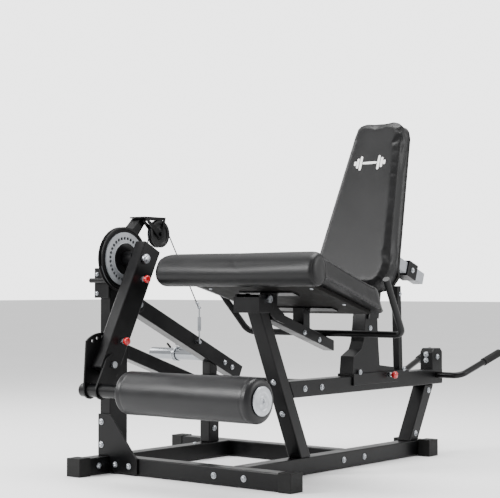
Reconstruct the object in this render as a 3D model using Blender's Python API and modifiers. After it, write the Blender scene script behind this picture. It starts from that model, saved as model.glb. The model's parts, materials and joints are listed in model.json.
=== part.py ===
"""Leg extension and lying leg curl machine, built piece by piece in Blender.

The frame stands on the floor (z = 0).  Y runs along the machine, from the roller
end (-Y) to the rear handlebar (+Y).  The single weight upright is on the -X side.
Sizes are written in millimetres and turned into metres once, in vec().
"""

import math

import bmesh
import bpy
from mathutils import Matrix, Vector

NAME = "lying_leg_curl"
MM = 0.001

# --- shared clearances (mm) -------------------------------------------------
GAP = 0.3           # between two pieces that touch
RUN = 0.5           # radial running clearance of a turning fit
SLIDE = 0.6         # clearance of the carriage on its rail

# --- frame (mm) -------------------------------------------------------------
FLOOR = 3.0         # the rubber caps lift the tubes off the floor
TUBE = 60.0         # base, rail and post tube
TUBE_EDGE = 4.0     # outside corner radius of a tube
CAP_WALL = 3.0
CAP_LEN = 48.0
CROSS_END = 261.0   # +X end of the front cross tube
SPINE_END = 1154.0  # +Y end of the spine tube
FOOT_HALF = 79.0    # half length of the rear foot tube
LEFT_X = -588.0     # centre plane of the upright, the lever and the left base tube
LEFT_FRONT = -154.0
REAR_CROSS_Y = 673.0
OUTRIGGER_END = -859.0
UPRIGHT_W = 50.0
UPRIGHT_D = 92.0
UPRIGHT_TOP = 747.0
PLATE = 8.0
POST_Y0 = 558.0     # short post under the lever
POST_TOP = 330.0
RAIL_Z0 = 281.0
RAIL_TOP = RAIL_Z0 + TUBE
RAIL_END = 1347.0
HANDLE_R = 12.5
GRIP_R = 16.0

# --- cam, arm and roller (mm) -----------------------------------------------
AXIS = (50.0, 780.0)            # cam and arm axis, (y, z)
SHAFT_R = 12.5
CAM_R = 118.0
CAM_W = 20.0
GROOVE_R = 108.0
INDEX_R = 76.0
INDEX_HOLE_R = 6.4
INDEX_HOLES = 23
INDEX_PITCH = 12.0              # degrees
ARM_X = (-488.0, -438.0)
ARM_LEAN = 26.8                 # degrees forward of straight down
ARM_D = 90.0
ARM_FRONT = 25.0                # from the axis to the arm's front face
ARM_ABOVE = 61.0                # arm end above the axis, along the arm
ARM_BELOW = 442.0               # arm end below the axis, along the arm
BRACKET_UP = 30.0               # roller bracket pivot above the arm's lower end
ROLLER = (-172.0, 314.0)        # roller axis, (y, z)
ROLLER_TUBE_R = 24.0
ROLLER_TUBE_X0 = -528.0
FOAM_R = 75.0
FOAM_X = (-308.0, 278.0)
PIN_R = 5.0

# --- lever, weight horn, pulley (mm) ----------------------------------------
LEVER_PIVOT = (146.0, 612.0)
LEVER_DROP = 25.0               # degrees below level towards the rear
LEVER_D = 60.0
LEVER_LEN = 672.0
HORN_R = 24.5
HORN_LEN = 275.0
HORN_AT = 478.0                 # along the lever from its pivot
PULLEY = (244.0, 878.0)
PULLEY_R = 52.0
PULLEY_GROOVE_R = 45.0
PULLEY_W = 20.0
CABLE_R = 2.4
CABLE_X = -549.0
SHACKLE = (480.0, 462.0)

# --- seat and backrest (mm) -------------------------------------------------
SEAT_PIVOT = (145.0, 635.0)
SEAT_TILT = 16.0                # degrees, rear down
ROLL = (52.0, 735.0)
ROLL_R = 57.0
SEAT_HALF = 354.0
SEAT_REAR_HALF = 297.0
SEAT_LEN = 470.0                # roll axis to the top rear edge, along the pad
SEAT_THICK = 69.0
BACK_LEAN = 19.4                # degrees back from upright
BACK_FOOT = (690.0, 668.0)      # lower edge of the front face
BACK_LEN = 707.0
BACK_THICK = 72.0
BACK_HALF_LOW = 183.0
BACK_HALF_TOP = 118.0
BOARD = 15.0
SEAT_TUBE_D = 38.0              # depth of the tube under the seat
BACK_PIVOT_UP = 114.0           # along the pad from its lower edge
BACK_PIVOT_IN = 140.0           # behind the front face


def vec(x, y, z):
    """A point in metres from millimetres."""
    return Vector((x * MM, y * MM, z * MM))


def rad(deg):
    return math.radians(deg)


# --- scene ------------------------------------------------------------------
for old in list(bpy.data.objects):
    bpy.data.objects.remove(old, do_unlink=True)

part = bpy.data.collections.new(NAME)
cutters = bpy.data.collections.new("cutters")
bpy.context.scene.collection.children.link(part)
bpy.context.scene.collection.children.link(cutters)
cutters.hide_render = True

COLOURS = {
    "powder_coat_black": ((0.018, 0.018, 0.02, 1.0), 0.0, 0.42),
    "rubber_black": ((0.02, 0.02, 0.02, 1.0), 0.0, 0.8),
    "vinyl_black": ((0.025, 0.025, 0.027, 1.0), 0.0, 0.45),
    "plywood": ((0.08, 0.06, 0.045, 1.0), 0.0, 0.8),
    "zinc_steel": ((0.6, 0.6, 0.6, 1.0), 1.0, 0.3),
    "chrome_steel": ((0.75, 0.75, 0.76, 1.0), 1.0, 0.12),
    "grey_steel": ((0.5, 0.5, 0.5, 1.0), 0.6, 0.4),
    "steel_rope": ((0.2, 0.2, 0.2, 1.0), 1.0, 0.45),
    "red_plastic": ((0.55, 0.01, 0.015, 1.0), 0.0, 0.3),
    "nylon_black": ((0.03, 0.03, 0.03, 1.0), 0.0, 0.5),
}


def finish_of(name):
    """The material called name, made on first use."""
    mat = bpy.data.materials.get(name)
    if mat is None:
        colour, metal, rough = COLOURS[name]
        mat = bpy.data.materials.new(name)
        mat.use_nodes = True
        shader = mat.node_tree.nodes["Principled BSDF"]
        shader.inputs["Base Color"].default_value = colour
        shader.inputs["Metallic"].default_value = metal
        shader.inputs["Roughness"].default_value = rough
        mat.diffuse_color = colour
    return mat


# --- solids -----------------------------------------------------------------
def solid(name, bm, material=None):
    """Close a bmesh into an object; cutters have no material."""
    bmesh.ops.recalc_face_normals(bm, faces=bm.faces[:])
    mesh = bpy.data.meshes.new(name)
    bm.to_mesh(mesh)
    bm.free()
    obj = bpy.data.objects.new(name, mesh)
    if material:
        part.objects.link(obj)
        mesh.materials.append(finish_of(material))
    else:
        cutters.objects.link(obj)
        obj.display_type = "WIRE"
        obj.hide_render = True
    return obj


def extrude(outline, shift):
    """A closed prism: the outline's points, moved along shift."""
    bm = bmesh.new()
    low = [bm.verts.new(p) for p in outline]
    top = [bm.verts.new(p + shift) for p in outline]
    bm.faces.new(low)
    bm.faces.new(top)
    count = len(low)
    for i in range(count):
        j = (i + 1) % count
        bm.faces.new((low[i], low[j], top[j], top[i]))
    return bm


def plate_yz(name, points, x0, x1, material=None, edge=0.0):
    """A piece with its outline in the YZ plane, from x0 to x1."""
    outline = [vec(x0, y, z) for y, z in points]
    obj = solid(name, extrude(outline, vec(x1 - x0, 0, 0)), material)
    return soften(obj, edge)


def plate_xz(name, points, y0, y1, material=None, edge=0.0):
    """A piece with its outline in the XZ plane, from y0 to y1."""
    outline = [vec(x, y0, z) for x, z in points]
    obj = solid(name, extrude(outline, vec(0, y1 - y0, 0)), material)
    return soften(obj, edge)


def block(name, x, y, z, material=None, edge=0.0):
    """A box between the limits given as pairs."""
    points = [(y[0], z[0]), (y[1], z[0]), (y[1], z[1]), (y[0], z[1])]
    return plate_yz(name, points, x[0], x[1], material, edge)


def turned(name, centre, profile, material=None, steps=32):
    """A solid turned about the X axis through centre (y, z).

    profile holds (x, radius) pairs; its first and last radius may be 0.
    """
    bm = bmesh.new()
    rings = []
    for x, r in profile:
        if r == 0:
            rings.append([bm.verts.new(vec(x, *centre))])
            continue
        ring = []
        for i in range(steps):
            a = 2 * math.pi * i / steps
            ring.append(bm.verts.new(vec(x, centre[0] + r * math.cos(a), centre[1] + r * math.sin(a))))
        rings.append(ring)
    closed = profile[0][1] != 0
    pairs = list(zip(rings, rings[1:]))
    if closed:
        pairs.append((rings[-1], rings[0]))
    for one, two in pairs:
        for i in range(steps):
            j = (i + 1) % steps
            if len(one) == 1:
                bm.faces.new((one[0], two[j], two[i]))
            elif len(two) == 1:
                bm.faces.new((one[i], one[j], two[0]))
            else:
                bm.faces.new((one[i], one[j], two[j], two[i]))
    return solid(name, bm, material)


def drum(name, centre, r, x0, x1, material=None, steps=32):
    """A plain cylinder along X."""
    return turned(name, centre, [(x0, 0), (x0, r), (x1, r), (x1, 0)], material, steps)


def soften(obj, edge):
    """Round the edges of a solid by edge mm."""
    if edge:
        bevel = obj.modifiers.new("edges", "BEVEL")
        bevel.width = edge * MM
        bevel.segments = 2
        bevel.limit_method = "ANGLE"
        bevel.angle_limit = rad(30)
        apply_all(obj)
    return obj


def apply_all(obj):
    """Replace the mesh by its evaluated copy."""
    bpy.context.view_layer.update()
    seen = obj.evaluated_get(bpy.context.evaluated_depsgraph_get())
    mesh = bpy.data.meshes.new_from_object(seen)
    mesh.name = obj.name
    obj.modifiers.clear()
    obj.data = mesh
    return obj


def boolean(obj, others, operation):
    """Cut the others away, or join them on, and drop them."""
    for other in others:
        step = obj.modifiers.new("boolean", "BOOLEAN")
        step.operation = operation
        step.solver = "EXACT"
        step.object = other
        apply_all(obj)
        bpy.data.objects.remove(other, do_unlink=True)
    return obj


def cut(obj, *others):
    return boolean(obj, others, "DIFFERENCE")


def join(obj, *others):
    return boolean(obj, others, "UNION")


def swept(name, line, radius, material, roundness=4):
    """A round bar along a line of points in millimetres, as one closed mesh."""
    curve = bpy.data.curves.new(name, "CURVE")
    curve.dimensions = "3D"
    curve.bevel_depth = radius * MM
    curve.bevel_resolution = roundness
    curve.use_fill_caps = True
    spline = curve.splines.new("POLY")
    spline.points.add(len(line) - 1)
    for spot, p in zip(spline.points, line):
        spot.co = (p[0] * MM, p[1] * MM, p[2] * MM, 1.0)
    carrier = bpy.data.objects.new(name + "_path", curve)
    cutters.objects.link(carrier)
    bpy.context.view_layer.update()
    mesh = bpy.data.meshes.new_from_object(carrier.evaluated_get(bpy.context.evaluated_depsgraph_get()))
    bpy.data.objects.remove(carrier, do_unlink=True)
    bm = bmesh.new()
    bm.from_mesh(mesh)
    bmesh.ops.remove_doubles(bm, verts=bm.verts[:], dist=1e-5)
    return solid(name, bm, material)


def tube_along(name, path, radius, material, bends=6):
    """A round bar along (point, bend radius) pairs in millimetres."""
    points = [Vector(p) for p, _ in path]
    line = [points[0]]
    for i in range(1, len(points) - 1):
        here, bend = points[i], path[i][1]
        a = (points[i - 1] - here).normalized()
        b = (points[i + 1] - here).normalized()
        half = a.angle(b) / 2
        reach = bend / math.tan(half)
        centre = here + (a + b).normalized() * (bend / math.sin(half))
        start, end = here + a * reach, here + b * reach
        for k in range(bends + 1):
            swing = (start - centre).normalized().slerp((end - centre).normalized(), k / bends)
            line.append(centre + swing * bend)
    line.append(points[-1])
    return swept(name, line, radius, material)


def arc(centre, r, start, end, count):
    """Points on a circle in the YZ plane, angles in degrees from +Y towards +Z."""
    out = []
    for i in range(count + 1):
        a = rad(start + (end - start) * i / count)
        out.append((centre[0] + r * math.cos(a), centre[1] + r * math.sin(a)))
    return out


def hull(points):
    """The convex outline round a set of YZ points."""
    pts = sorted(set((round(y, 4), round(z, 4)) for y, z in points))

    def half(seq):
        out = []
        for p in seq:
            while len(out) > 1:
                (ay, az), (by, bz) = out[-2], out[-1]
                if (by - ay) * (p[1] - az) - (bz - az) * (p[0] - ay) > 0:
                    break
                out.pop()
            out.append(p)
        return out[:-1]

    return half(pts) + half(reversed(pts))


def centre_on_footprint():
    """Move the whole machine so that the origin is the middle of its footprint."""
    bpy.context.view_layer.update()
    spots = [obj.matrix_world @ Vector(corner) for obj in part.objects for corner in obj.bound_box]
    low = [min(p[i] for p in spots) for i in range(2)]
    high = [max(p[i] for p in spots) for i in range(2)]
    for obj in part.objects:
        obj.location -= Vector(((low[0] + high[0]) / 2, (low[1] + high[1]) / 2, 0))


def origin_to(obj, x, y, z):
    """Move the object's origin onto its joint axis, leaving the mesh in place."""
    spot = vec(x, y, z)
    obj.data.transform(Matrix.Translation(-spot))
    obj.location = spot
    return obj


def capped(name, x, y, z, side, material="rubber_black"):
    """A rubber cap: a cup over a tube end.  x, y and z are the tube's limits."""
    limits = [list(x), list(y), list(z)]
    outer = [[a - CAP_WALL, b + CAP_WALL] for a, b in limits]
    hole = [[a - GAP, b + GAP] for a, b in limits]
    axis, end = side
    face = limits[axis][end]
    sign = 1 if end else -1
    outer[axis] = sorted((face - sign * CAP_LEN, face + sign * 2 * CAP_WALL))
    hole[axis] = sorted((face - sign * (CAP_LEN + 20), face + sign * GAP))
    cup = block(name, *outer, material, edge=1.5)
    return cut(cup, block(name + "_bore", *hole))


# --- base -------------------------------------------------------------------
def base():
    z = (FLOOR, FLOOR + TUBE)
    left = (LEFT_X - TUBE / 2, LEFT_X + TUBE / 2)
    mid = (-TUBE / 2, TUBE / 2)
    rear = (REAR_CROSS_Y, REAR_CROSS_Y + TUBE)
    foot = (SPINE_END, SPINE_END + TUBE)
    left_y = (LEFT_FRONT, REAR_CROSS_Y - GAP)
    cross_x = (left[1] + GAP, CROSS_END)
    rear_x = (OUTRIGGER_END, mid[0] - GAP)
    foot_x = (-FOOT_HALF, FOOT_HALF)
    black = "powder_coat_black"
    block("left_base_tube", left, left_y, z, black, TUBE_EDGE)
    block("front_cross_tube", cross_x, (0, TUBE), z, black, TUBE_EDGE)
    block("spine_tube", mid, (TUBE + GAP, SPINE_END - GAP), z, black, TUBE_EDGE)
    block("rear_cross_tube", rear_x, rear, z, black, TUBE_EDGE)
    block("rear_foot_tube", foot_x, foot, z, black, TUBE_EDGE)
    capped("cap_left_front", left, left_y, z, (1, 0))
    capped("cap_cross_right", cross_x, (0, TUBE), z, (0, 1))
    capped("cap_outrigger", rear_x, rear, z, (0, 0))
    capped("cap_foot_right", foot_x, foot, z, (0, 1))
    capped("cap_foot_left", foot_x, foot, z, (0, 0))


FLOOR_TOP = FLOOR + TUBE + GAP
UP_X = (LEFT_X - UPRIGHT_W / 2, LEFT_X + UPRIGHT_W / 2)


# --- upright side -----------------------------------------------------------
def upright_side():
    black = "powder_coat_black"
    dome = arc(AXIS, 38.0, 0, 180, 16)
    body = plate_yz(
        "upright",
        [(0, FLOOR_TOP), (UPRIGHT_D, FLOOR_TOP), (UPRIGHT_D, UPRIGHT_TOP)] + dome + [(0, UPRIGHT_TOP)],
        *UP_X, black, 3.0,
    )
    cut(body, drum("upright_bore", AXIS, SHAFT_R + GAP, UP_X[0] - 10, UP_X[1] + 10))

    gusset = [
        (LEFT_X - 27, FLOOR_TOP), (LEFT_X + TUBE / 2 + GAP, FLOOR_TOP), (LEFT_X + TUBE / 2 + GAP, FLOOR + 3),
        (-420, FLOOR + 3), (-420, FLOOR + TUBE), (-440, FLOOR + 76), (UP_X[1] + 8, 214), (LEFT_X - 27, 214),
    ]
    plate_xz("front_gusset", gusset, -PLATE - GAP, -GAP, black, 1.5)

    stop = block("stop_rod", (UP_X[0] - 23, UP_X[1]), (-PLATE - GAP, -GAP), (637, UPRIGHT_TOP), black, 1.5)
    join(stop, drum("stop_rod_bar", (-PLATE - GAP - 7, 701), 9.0, UP_X[0] - 36, UP_X[1] - 0.5, black))

    slope = -0.339
    y0, y1, top = UPRIGHT_D + GAP, POST_Y0 - GAP, 465.0
    deep = 50 / math.cos(math.atan(slope))
    drop = slope * (y1 - y0)
    brace = [(y0, top), (y1, top + drop), (y1, top + drop - deep), (y0, top - deep)]
    plate_yz("upright_brace", brace, *UP_X, black, TUBE_EDGE)

    post_y = (POST_Y0, POST_Y0 + TUBE)
    block("short_post", UP_X, post_y, (FLOOR_TOP, POST_TOP), black, TUBE_EDGE)
    low, high = POST_Y0 + 8, POST_Y0 + 52
    foot = POST_TOP + GAP
    plate_yz(
        "lever_bumper",
        [(low, foot), (high, foot), (high, lever_under(high) - RUN), (low, lever_under(low) - RUN)],
        LEFT_X - 21, LEFT_X + 21, "rubber_black", 2.5,
    )
    block("mid_cross_tube", (UP_X[1] + GAP, -TUBE / 2 - GAP), (568, 608), (288, 328), black, 3.0)


def lever_point(along, across=0.0):
    """A point on the lever: mm along it from its pivot, and mm above its middle."""
    c, s = math.cos(rad(LEVER_DROP)), math.sin(rad(LEVER_DROP))
    return (LEVER_PIVOT[0] + along * c + across * s, LEVER_PIVOT[1] - along * s + across * c)


def lever_under(y):
    """Height of the lever's underside at y."""
    y0, z0 = lever_point(0, -LEVER_D / 2)
    return z0 - (y - y0) * math.tan(rad(LEVER_DROP))


# --- seat post, rail and rear post ------------------------------------------
def spine_side():
    black = "powder_coat_black"
    half = TUBE / 2
    top = 591.7
    post = plate_yz(
        "seat_post", [(372, FLOOR_TOP), (431, FLOOR_TOP), (182, top), (134.5, top)], -half, half, black, TUBE_EDGE
    )
    yoke = block("seat_yoke", (-58, 58), (95, 175), (top - 4, 652), black, 1.5)
    cut(
        yoke,
        block("seat_yoke_slot", (-50, 50), (101, 200), (top + 8, 700)),
        block("seat_yoke_back", (-80, 80), (152, 200), (560, top + 8)),
        block("seat_yoke_lip", (-80, 80), (80, 104), (642, 700)),
    )
    cut(yoke, drum("seat_yoke_bore", SEAT_PIVOT, 8 + GAP, -80, 80))
    join(post, yoke)

    front = [(post_back(RAIL_Z0) + 0.6, RAIL_Z0), (RAIL_END, RAIL_Z0), (RAIL_END, RAIL_TOP)]
    rail = plate_yz("mid_rail", front + [(post_back(RAIL_TOP) + 0.6, RAIL_TOP)], -half, half, black, TUBE_EDGE)
    mast = [(1267, 300), (RAIL_END - 0.5, 300), (RAIL_END - 0.5, 412), (1332, 427), (1281, 427), (1267, 412)]
    join(rail, plate_yz("mast", mast, -half + 1, half - 1, black, 3.0))
    cut(rail, drum("handle_bore", (1300, 318), HANDLE_R + GAP, -80, 80))

    rear = [(1092, FLOOR_TOP), (1153.5, FLOOR_TOP), (1276, RAIL_Z0 - GAP), (1213, RAIL_Z0 - GAP)]
    plate_yz("rear_post", rear, -half, half, black, TUBE_EDGE)

    bend, tip = (142, 1300, 318), (168, 1572, 402)
    path = [(tip, 0), (bend, 40), ((-bend[0], *bend[1:]), 40), ((-tip[0], *tip[1:]), 0)]
    tube_along("rear_handlebar", path, HANDLE_R, black)
    for side, name in ((1, "grip_right"), (-1, "grip_left")):
        a = Vector((side * bend[0], *bend[1:]))
        b = Vector((side * tip[0], *tip[1:]))
        on = (b - a).normalized()
        outer = tube_along(name, [(b - on * 118, 0), (b + on * 6, 0)], GRIP_R, "rubber_black")
        bore = tube_along(name + "_bore", [(b - on * 140, 0), (b + on * GAP, 0)], HANDLE_R + 2 * RUN, None)
        cut(outer, bore)


def post_back(z):
    """The seat post's rear face at height z."""
    return 431 + (182 - 431) * (z - FLOOR_TOP) / (591.7 - FLOOR_TOP)


# --- pulley and its mast ----------------------------------------------------
def pulley_side():
    black = "powder_coat_black"
    foot = (AXIS[0] + 8, AXIS[1] + 38.6)
    body = [
        (foot[0] - 30, foot[1] - 4), (foot[0] + 20, foot[1] - 12), (foot[0] + 60, foot[1] + 12),
        (PULLEY[0] - 43, PULLEY[1] + 57), (PULLEY[0] - 82, PULLEY[1] + 57), (PULLEY[0] - 100, PULLEY[1] + 38),
    ]
    mast = plate_yz("pulley_mast", body, *UP_X, black, 3.0)
    cut(mast, drum("mast_seat", AXIS, 38 + GAP, UP_X[0] - 10, UP_X[1] + 10, steps=64))

    near = CABLE_X + PULLEY_W / 2
    far = CABLE_X - PULLEY_W / 2
    y, z = PULLEY
    cheek = [(y - 92, z + 60), (y + 26, z + 60), (y + 24, z + 50), (y + 14, z - 12), (y, z - 18), (y - 14, z - 12)]
    thin = 3.0
    lid_x = (UP_X[0] + 2, near + RUN + thin)
    lid = block("pulley_bracket", lid_x, (y - 92, y + 26), (z + 57 + GAP, z + 63), black)
    join(lid, plate_yz("cheek_far", cheek, far - RUN - thin, far - RUN, black))
    join(lid, plate_yz("cheek_near", cheek, near + RUN, near + RUN + thin, black))
    window = [(y - 66, z + 51), (y + 13, z + 51), (y + 7, z + 14), (y - 7, z + 14)]
    cut(lid, plate_yz("bracket_window", window, far - 20, near + 20))
    join(lid, drum("pulley_axle", PULLEY, 8.0, far - 10, near + 12, black, steps=20))

    wheel = [
        (far, 8 + RUN), (far, 20), (far + 5, 22), (far + 5, 38), (far, 40), (far, PULLEY_R), (far + 3, PULLEY_R),
        (CABLE_X - 3, PULLEY_GROOVE_R), (CABLE_X + 3, PULLEY_GROOVE_R), (near - 3, PULLEY_R), (near, PULLEY_R),
        (near, 40), (near - 5, 38), (near - 5, 22), (near, 20), (near, 8 + RUN),
    ]
    turned("pulley", PULLEY, wheel, "nylon_black", 32)
    origin_to(bpy.data.objects["pulley"], CABLE_X, *PULLEY)


# --- cam, arm and roller ----------------------------------------------------
def arm_point(down, back):
    """A point on the arm: mm below the axis along the arm, and mm behind the axis."""
    c, s = math.cos(rad(ARM_LEAN)), math.sin(rad(ARM_LEAN))
    return (AXIS[0] - down * s + back * c, AXIS[1] - down * c - back * s)


ROLLER_PIVOT = arm_point(ARM_BELOW - BRACKET_UP, ARM_D / 2 - ARM_FRONT)
ARM_PIN = arm_point(73.0, 21.0)
ROLLER_PIN = arm_point(ARM_BELOW - BRACKET_UP - 95.0, ARM_D / 2 - ARM_FRONT + 8.0)


def arm_side():
    x0, x1 = CABLE_X - CAM_W / 2, CABLE_X + CAM_W / 2
    rim = [
        (x0, SHAFT_R + RUN), (x0, CAM_R), (x0 + 2.5, CAM_R), (CABLE_X - 3, GROOVE_R), (CABLE_X + 3, GROOVE_R),
        (x1 - 2.5, CAM_R), (x1, CAM_R), (x1, CAM_R - 8), (x1 - 3, CAM_R - 10), (x1 - 3, 30), (x1, 28),
        (x1, SHAFT_R + RUN),
    ]
    turned("cam", AXIS, rim, "powder_coat_black", 48)
    origin_to(bpy.data.objects["cam"], CABLE_X, *AXIS)

    ring = [(x1 - 2.7, 30.5), (x1 - 2.7, 98), (x1 + 3, 98), (x1 + 3, 60), (x1 + 7, 58), (x1 + 7, 30.5)]
    index = turned("index_plate", AXIS, ring, "grey_steel", 48)
    pin_angle = math.degrees(math.atan2(ARM_PIN[1] - AXIS[1], ARM_PIN[0] - AXIS[0])) % 360
    for i in range(INDEX_HOLES):
        a = rad(pin_angle - i * INDEX_PITCH)
        spot = (AXIS[0] + INDEX_R * math.cos(a), AXIS[1] + INDEX_R * math.sin(a))
        cut(index, drum("index_hole", spot, INDEX_HOLE_R, x1 - 20, x1 + 20, steps=8))
    origin_to(index, x1, *AXIS)

    shaft = [(UP_X[0] - 8, 0), (UP_X[0] - 8, 20), (UP_X[0] - GAP, 20), (UP_X[0] - GAP, SHAFT_R),
             (ARM_X[1] + GAP, SHAFT_R), (ARM_X[1] + GAP, 17), (ARM_X[1] + 12, 17), (ARM_X[1] + 12, 10),
             (ARM_X[1] + 20, 10), (ARM_X[1] + 20, 0)]
    turned("cam_shaft", AXIS, shaft, "zinc_steel", 32)

    corners = [arm_point(-ARM_ABOVE, -ARM_FRONT), arm_point(-ARM_ABOVE, ARM_D - ARM_FRONT),
               arm_point(ARM_BELOW, ARM_D - ARM_FRONT), arm_point(ARM_BELOW, -ARM_FRONT)]
    arm = plate_yz("arm", corners, *ARM_X, "powder_coat_black", TUBE_EDGE)
    hub = turned("arm_hub", AXIS, [(x1 + 7 + GAP, 0), (x1 + 7 + GAP, 28), (ARM_X[0] + 5, 28), (ARM_X[0] + 5, 0)],
                 "powder_coat_black", 32)
    join(arm, hub)
    wide = (ARM_X[0] - 90, ARM_X[1] + 30)
    cut(
        arm,
        drum("arm_bore", AXIS, SHAFT_R + RUN, *wide),
        drum("arm_pin_bore", ARM_PIN, PIN_R + RUN, *wide, steps=24),
        drum("roller_pin_bore", ROLLER_PIN, PIN_R + RUN, *wide, steps=24),
        drum("roller_pivot_bore", ROLLER_PIVOT, 8 + GAP, *wide, steps=24),
    )
    origin_to(arm, ARM_X[0], *AXIS)
    pop_pin("arm_pop_pin", ARM_PIN, ARM_X[1], x1 + 3 + GAP)
    pop_pin("roller_pop_pin", ROLLER_PIN, ARM_X[1], ARM_X[0] + 1)

    bolt = [(ARM_X[0] - 20, 0), (ARM_X[0] - 20, 12), (ARM_X[0] - 7 - 2 * GAP, 12), (ARM_X[0] - 7 - 2 * GAP, 8),
            (ARM_X[1] + 7 + 2 * GAP, 8), (ARM_X[1] + 7 + 2 * GAP, 12), (ARM_X[1] + 17, 12), (ARM_X[1] + 17, 0)]
    turned("roller_pivot_bolt", ROLLER_PIVOT, bolt, "zinc_steel", 24)


def pop_pin(name, spot, face, tip):
    """A sprung pin with a collar and a ball knob; it points to -X."""
    shape = [(tip, 0), (tip, PIN_R - 1), (tip + 1.5, PIN_R), (face + 1, PIN_R), (face + 1, 9), (face + 9, 9),
             (face + 9, 6), (face + 13, 6), (face + 15, 11), (face + 21, 13.5), (face + 28, 13), (face + 33, 9),
             (face + 35, 0)]
    pin = turned(name, spot, shape, "red_plastic", 12)
    return origin_to(pin, face, *spot)


def roller_side():
    near = (ARM_X[1] + GAP, ARM_X[1] + GAP + 7)
    far = (ARM_X[0] - GAP - 7, ARM_X[0] - GAP)
    fan = arc(ROLLER_PIVOT, 112, 46, 131, 16) + arc(ROLLER_PIVOT, 34, 0, 360, 24) + arc(ROLLER, 31, 0, 360, 24)
    left = plate_yz("roller_plate_left", hull(fan), *far, "powder_coat_black")
    start = math.degrees(math.atan2(ROLLER_PIN[1] - ROLLER_PIVOT[1], ROLLER_PIN[0] - ROLLER_PIVOT[0]))
    reach = math.dist(ROLLER_PIN, ROLLER_PIVOT)
    for i in range(5):
        a = rad(start + i * 15)
        spot = (ROLLER_PIVOT[0] + reach * math.cos(a), ROLLER_PIVOT[1] + reach * math.sin(a))
        cut(left, drum("fan_hole", spot, PIN_R + 0.6, far[0] - 9, far[1] + 9, steps=10))
    small = arc(ROLLER_PIVOT, 38, 0, 360, 28) + arc(ROLLER, 31, 0, 360, 28)
    right = plate_yz("roller_plate_right", hull(small), *near, "powder_coat_black")
    for item, x in ((left, far), (right, near)):
        cut(item, drum("pivot_hole", ROLLER_PIVOT, 8 + GAP, x[0] - 9, x[1] + 9, steps=24),
            drum("tube_hole", ROLLER, ROLLER_TUBE_R + GAP, x[0] - 9, x[1] + 9, steps=40))
        origin_to(item, x[0], *ROLLER_PIVOT)
    end = FOAM_X[1] + 2
    turned("roller_tube", ROLLER, [(ROLLER_TUBE_X0, 0), (ROLLER_TUBE_X0, ROLLER_TUBE_R - 3),
                                   (ROLLER_TUBE_X0 + 3, ROLLER_TUBE_R), (end, ROLLER_TUBE_R), (end, 0)],
           "powder_coat_black", 40)
    r, b = FOAM_R, ROLLER_TUBE_R + 1.0
    ease = [(0, 26), (2, 12), (8, 4), (18, 0)]
    foam = [(FOAM_X[0], b)] + [(FOAM_X[0] + dx, r - dr) for dx, dr in ease]
    foam += [(FOAM_X[1] - dx, r - dr) for dx, dr in reversed(ease)] + [(FOAM_X[1], b)]
    turned("roller_foam", ROLLER, foam, "vinyl_black", 36)
    origin_to(bpy.data.objects["roller_foam"], sum(FOAM_X) / 2, *ROLLER)
    cap = [(end + GAP, 0), (end + GAP, 48), (end + 4, 48), (end + 6, 45), (end + 7, 14), (end + 5, 12), (end + 5, 0)]
    turned("roller_end_cap", ROLLER, cap, "chrome_steel", 32)


# --- lever, horn and cable --------------------------------------------------
def lever_side():
    black = "powder_coat_black"
    nose = arc(LEVER_PIVOT, LEVER_D / 2, 90 - LEVER_DROP, 270 - LEVER_DROP, 12)
    tail = [lever_point(LEVER_LEN, -LEVER_D / 2), lever_point(LEVER_LEN, LEVER_D / 2)]
    lever = plate_yz("weight_lever", nose + tail, *UP_X, black, 3.0)
    cut(lever, drum("lever_bore", LEVER_PIVOT, 8 + RUN, UP_X[0] - 9, UP_X[1] + 9, steps=24))
    origin_to(lever, LEFT_X, *LEVER_PIVOT)

    outer = [(30, 646), (30, 578), (120, 578)] + arc(LEVER_PIVOT, 30, -60, 90, 12)
    bracket = plate_yz("lever_bracket", outer, UP_X[0] - PLATE - GAP, UP_X[1] + PLATE + GAP, black, 1.5)
    cut(
        bracket,
        block("bracket_upright", (UP_X[0] - GAP, UP_X[1] + GAP), (-10, UPRIGHT_D + GAP), (500, 700)),
        block("bracket_slot", (UP_X[0] - 0.4, UP_X[1] + 0.4), (UPRIGHT_D + GAP + 7, 300), (500, 700)),
        drum("bracket_bore", LEVER_PIVOT, 8 + GAP, UP_X[0] - 30, UP_X[1] + 30, steps=24),
    )
    out = PLATE + 2 * GAP
    pin = [(UP_X[0] - out - 9, 0), (UP_X[0] - out - 9, 12), (UP_X[0] - out, 12), (UP_X[0] - out, 8),
           (UP_X[1] + out, 8), (UP_X[1] + out, 12), (UP_X[1] + out + 9, 12), (UP_X[1] + out + 9, 0)]
    turned("lever_pin", LEVER_PIVOT, pin, "zinc_steel", 24)

    at = lever_point(HORN_AT, -3)
    x0 = UP_X[0] - GAP
    horn = [(x0, 0), (x0, HORN_R), (x0 - HORN_LEN + 3, HORN_R), (x0 - HORN_LEN, HORN_R - 3), (x0 - HORN_LEN, 0)]
    turned("weight_horn", at, horn, "chrome_steel", 32)
    x2 = x0 - 152
    collar = turned("spring_collar", at, [(x2, HORN_R + RUN), (x2, HORN_R + 5), (x2 + 26, HORN_R + 5),
                                          (x2 + 26, HORN_R + RUN)], "zinc_steel", 40)
    for turn in (-14, 14):
        a = rad(125 + turn)
        root = (at[0] + (HORN_R + 2.5) * math.cos(a), at[1] + (HORN_R + 2.5) * math.sin(a))
        tip = (at[0] + (HORN_R + 42) * math.cos(a), at[1] + (HORN_R + 42) * math.sin(a))
        x = x2 + 13 + turn * 0.6
        join(collar, tube_along("collar_arm", [((x, *root), 0), ((x, *tip), 0)], 2.6, "zinc_steel"))
    origin_to(collar, x2, *at)


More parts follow.
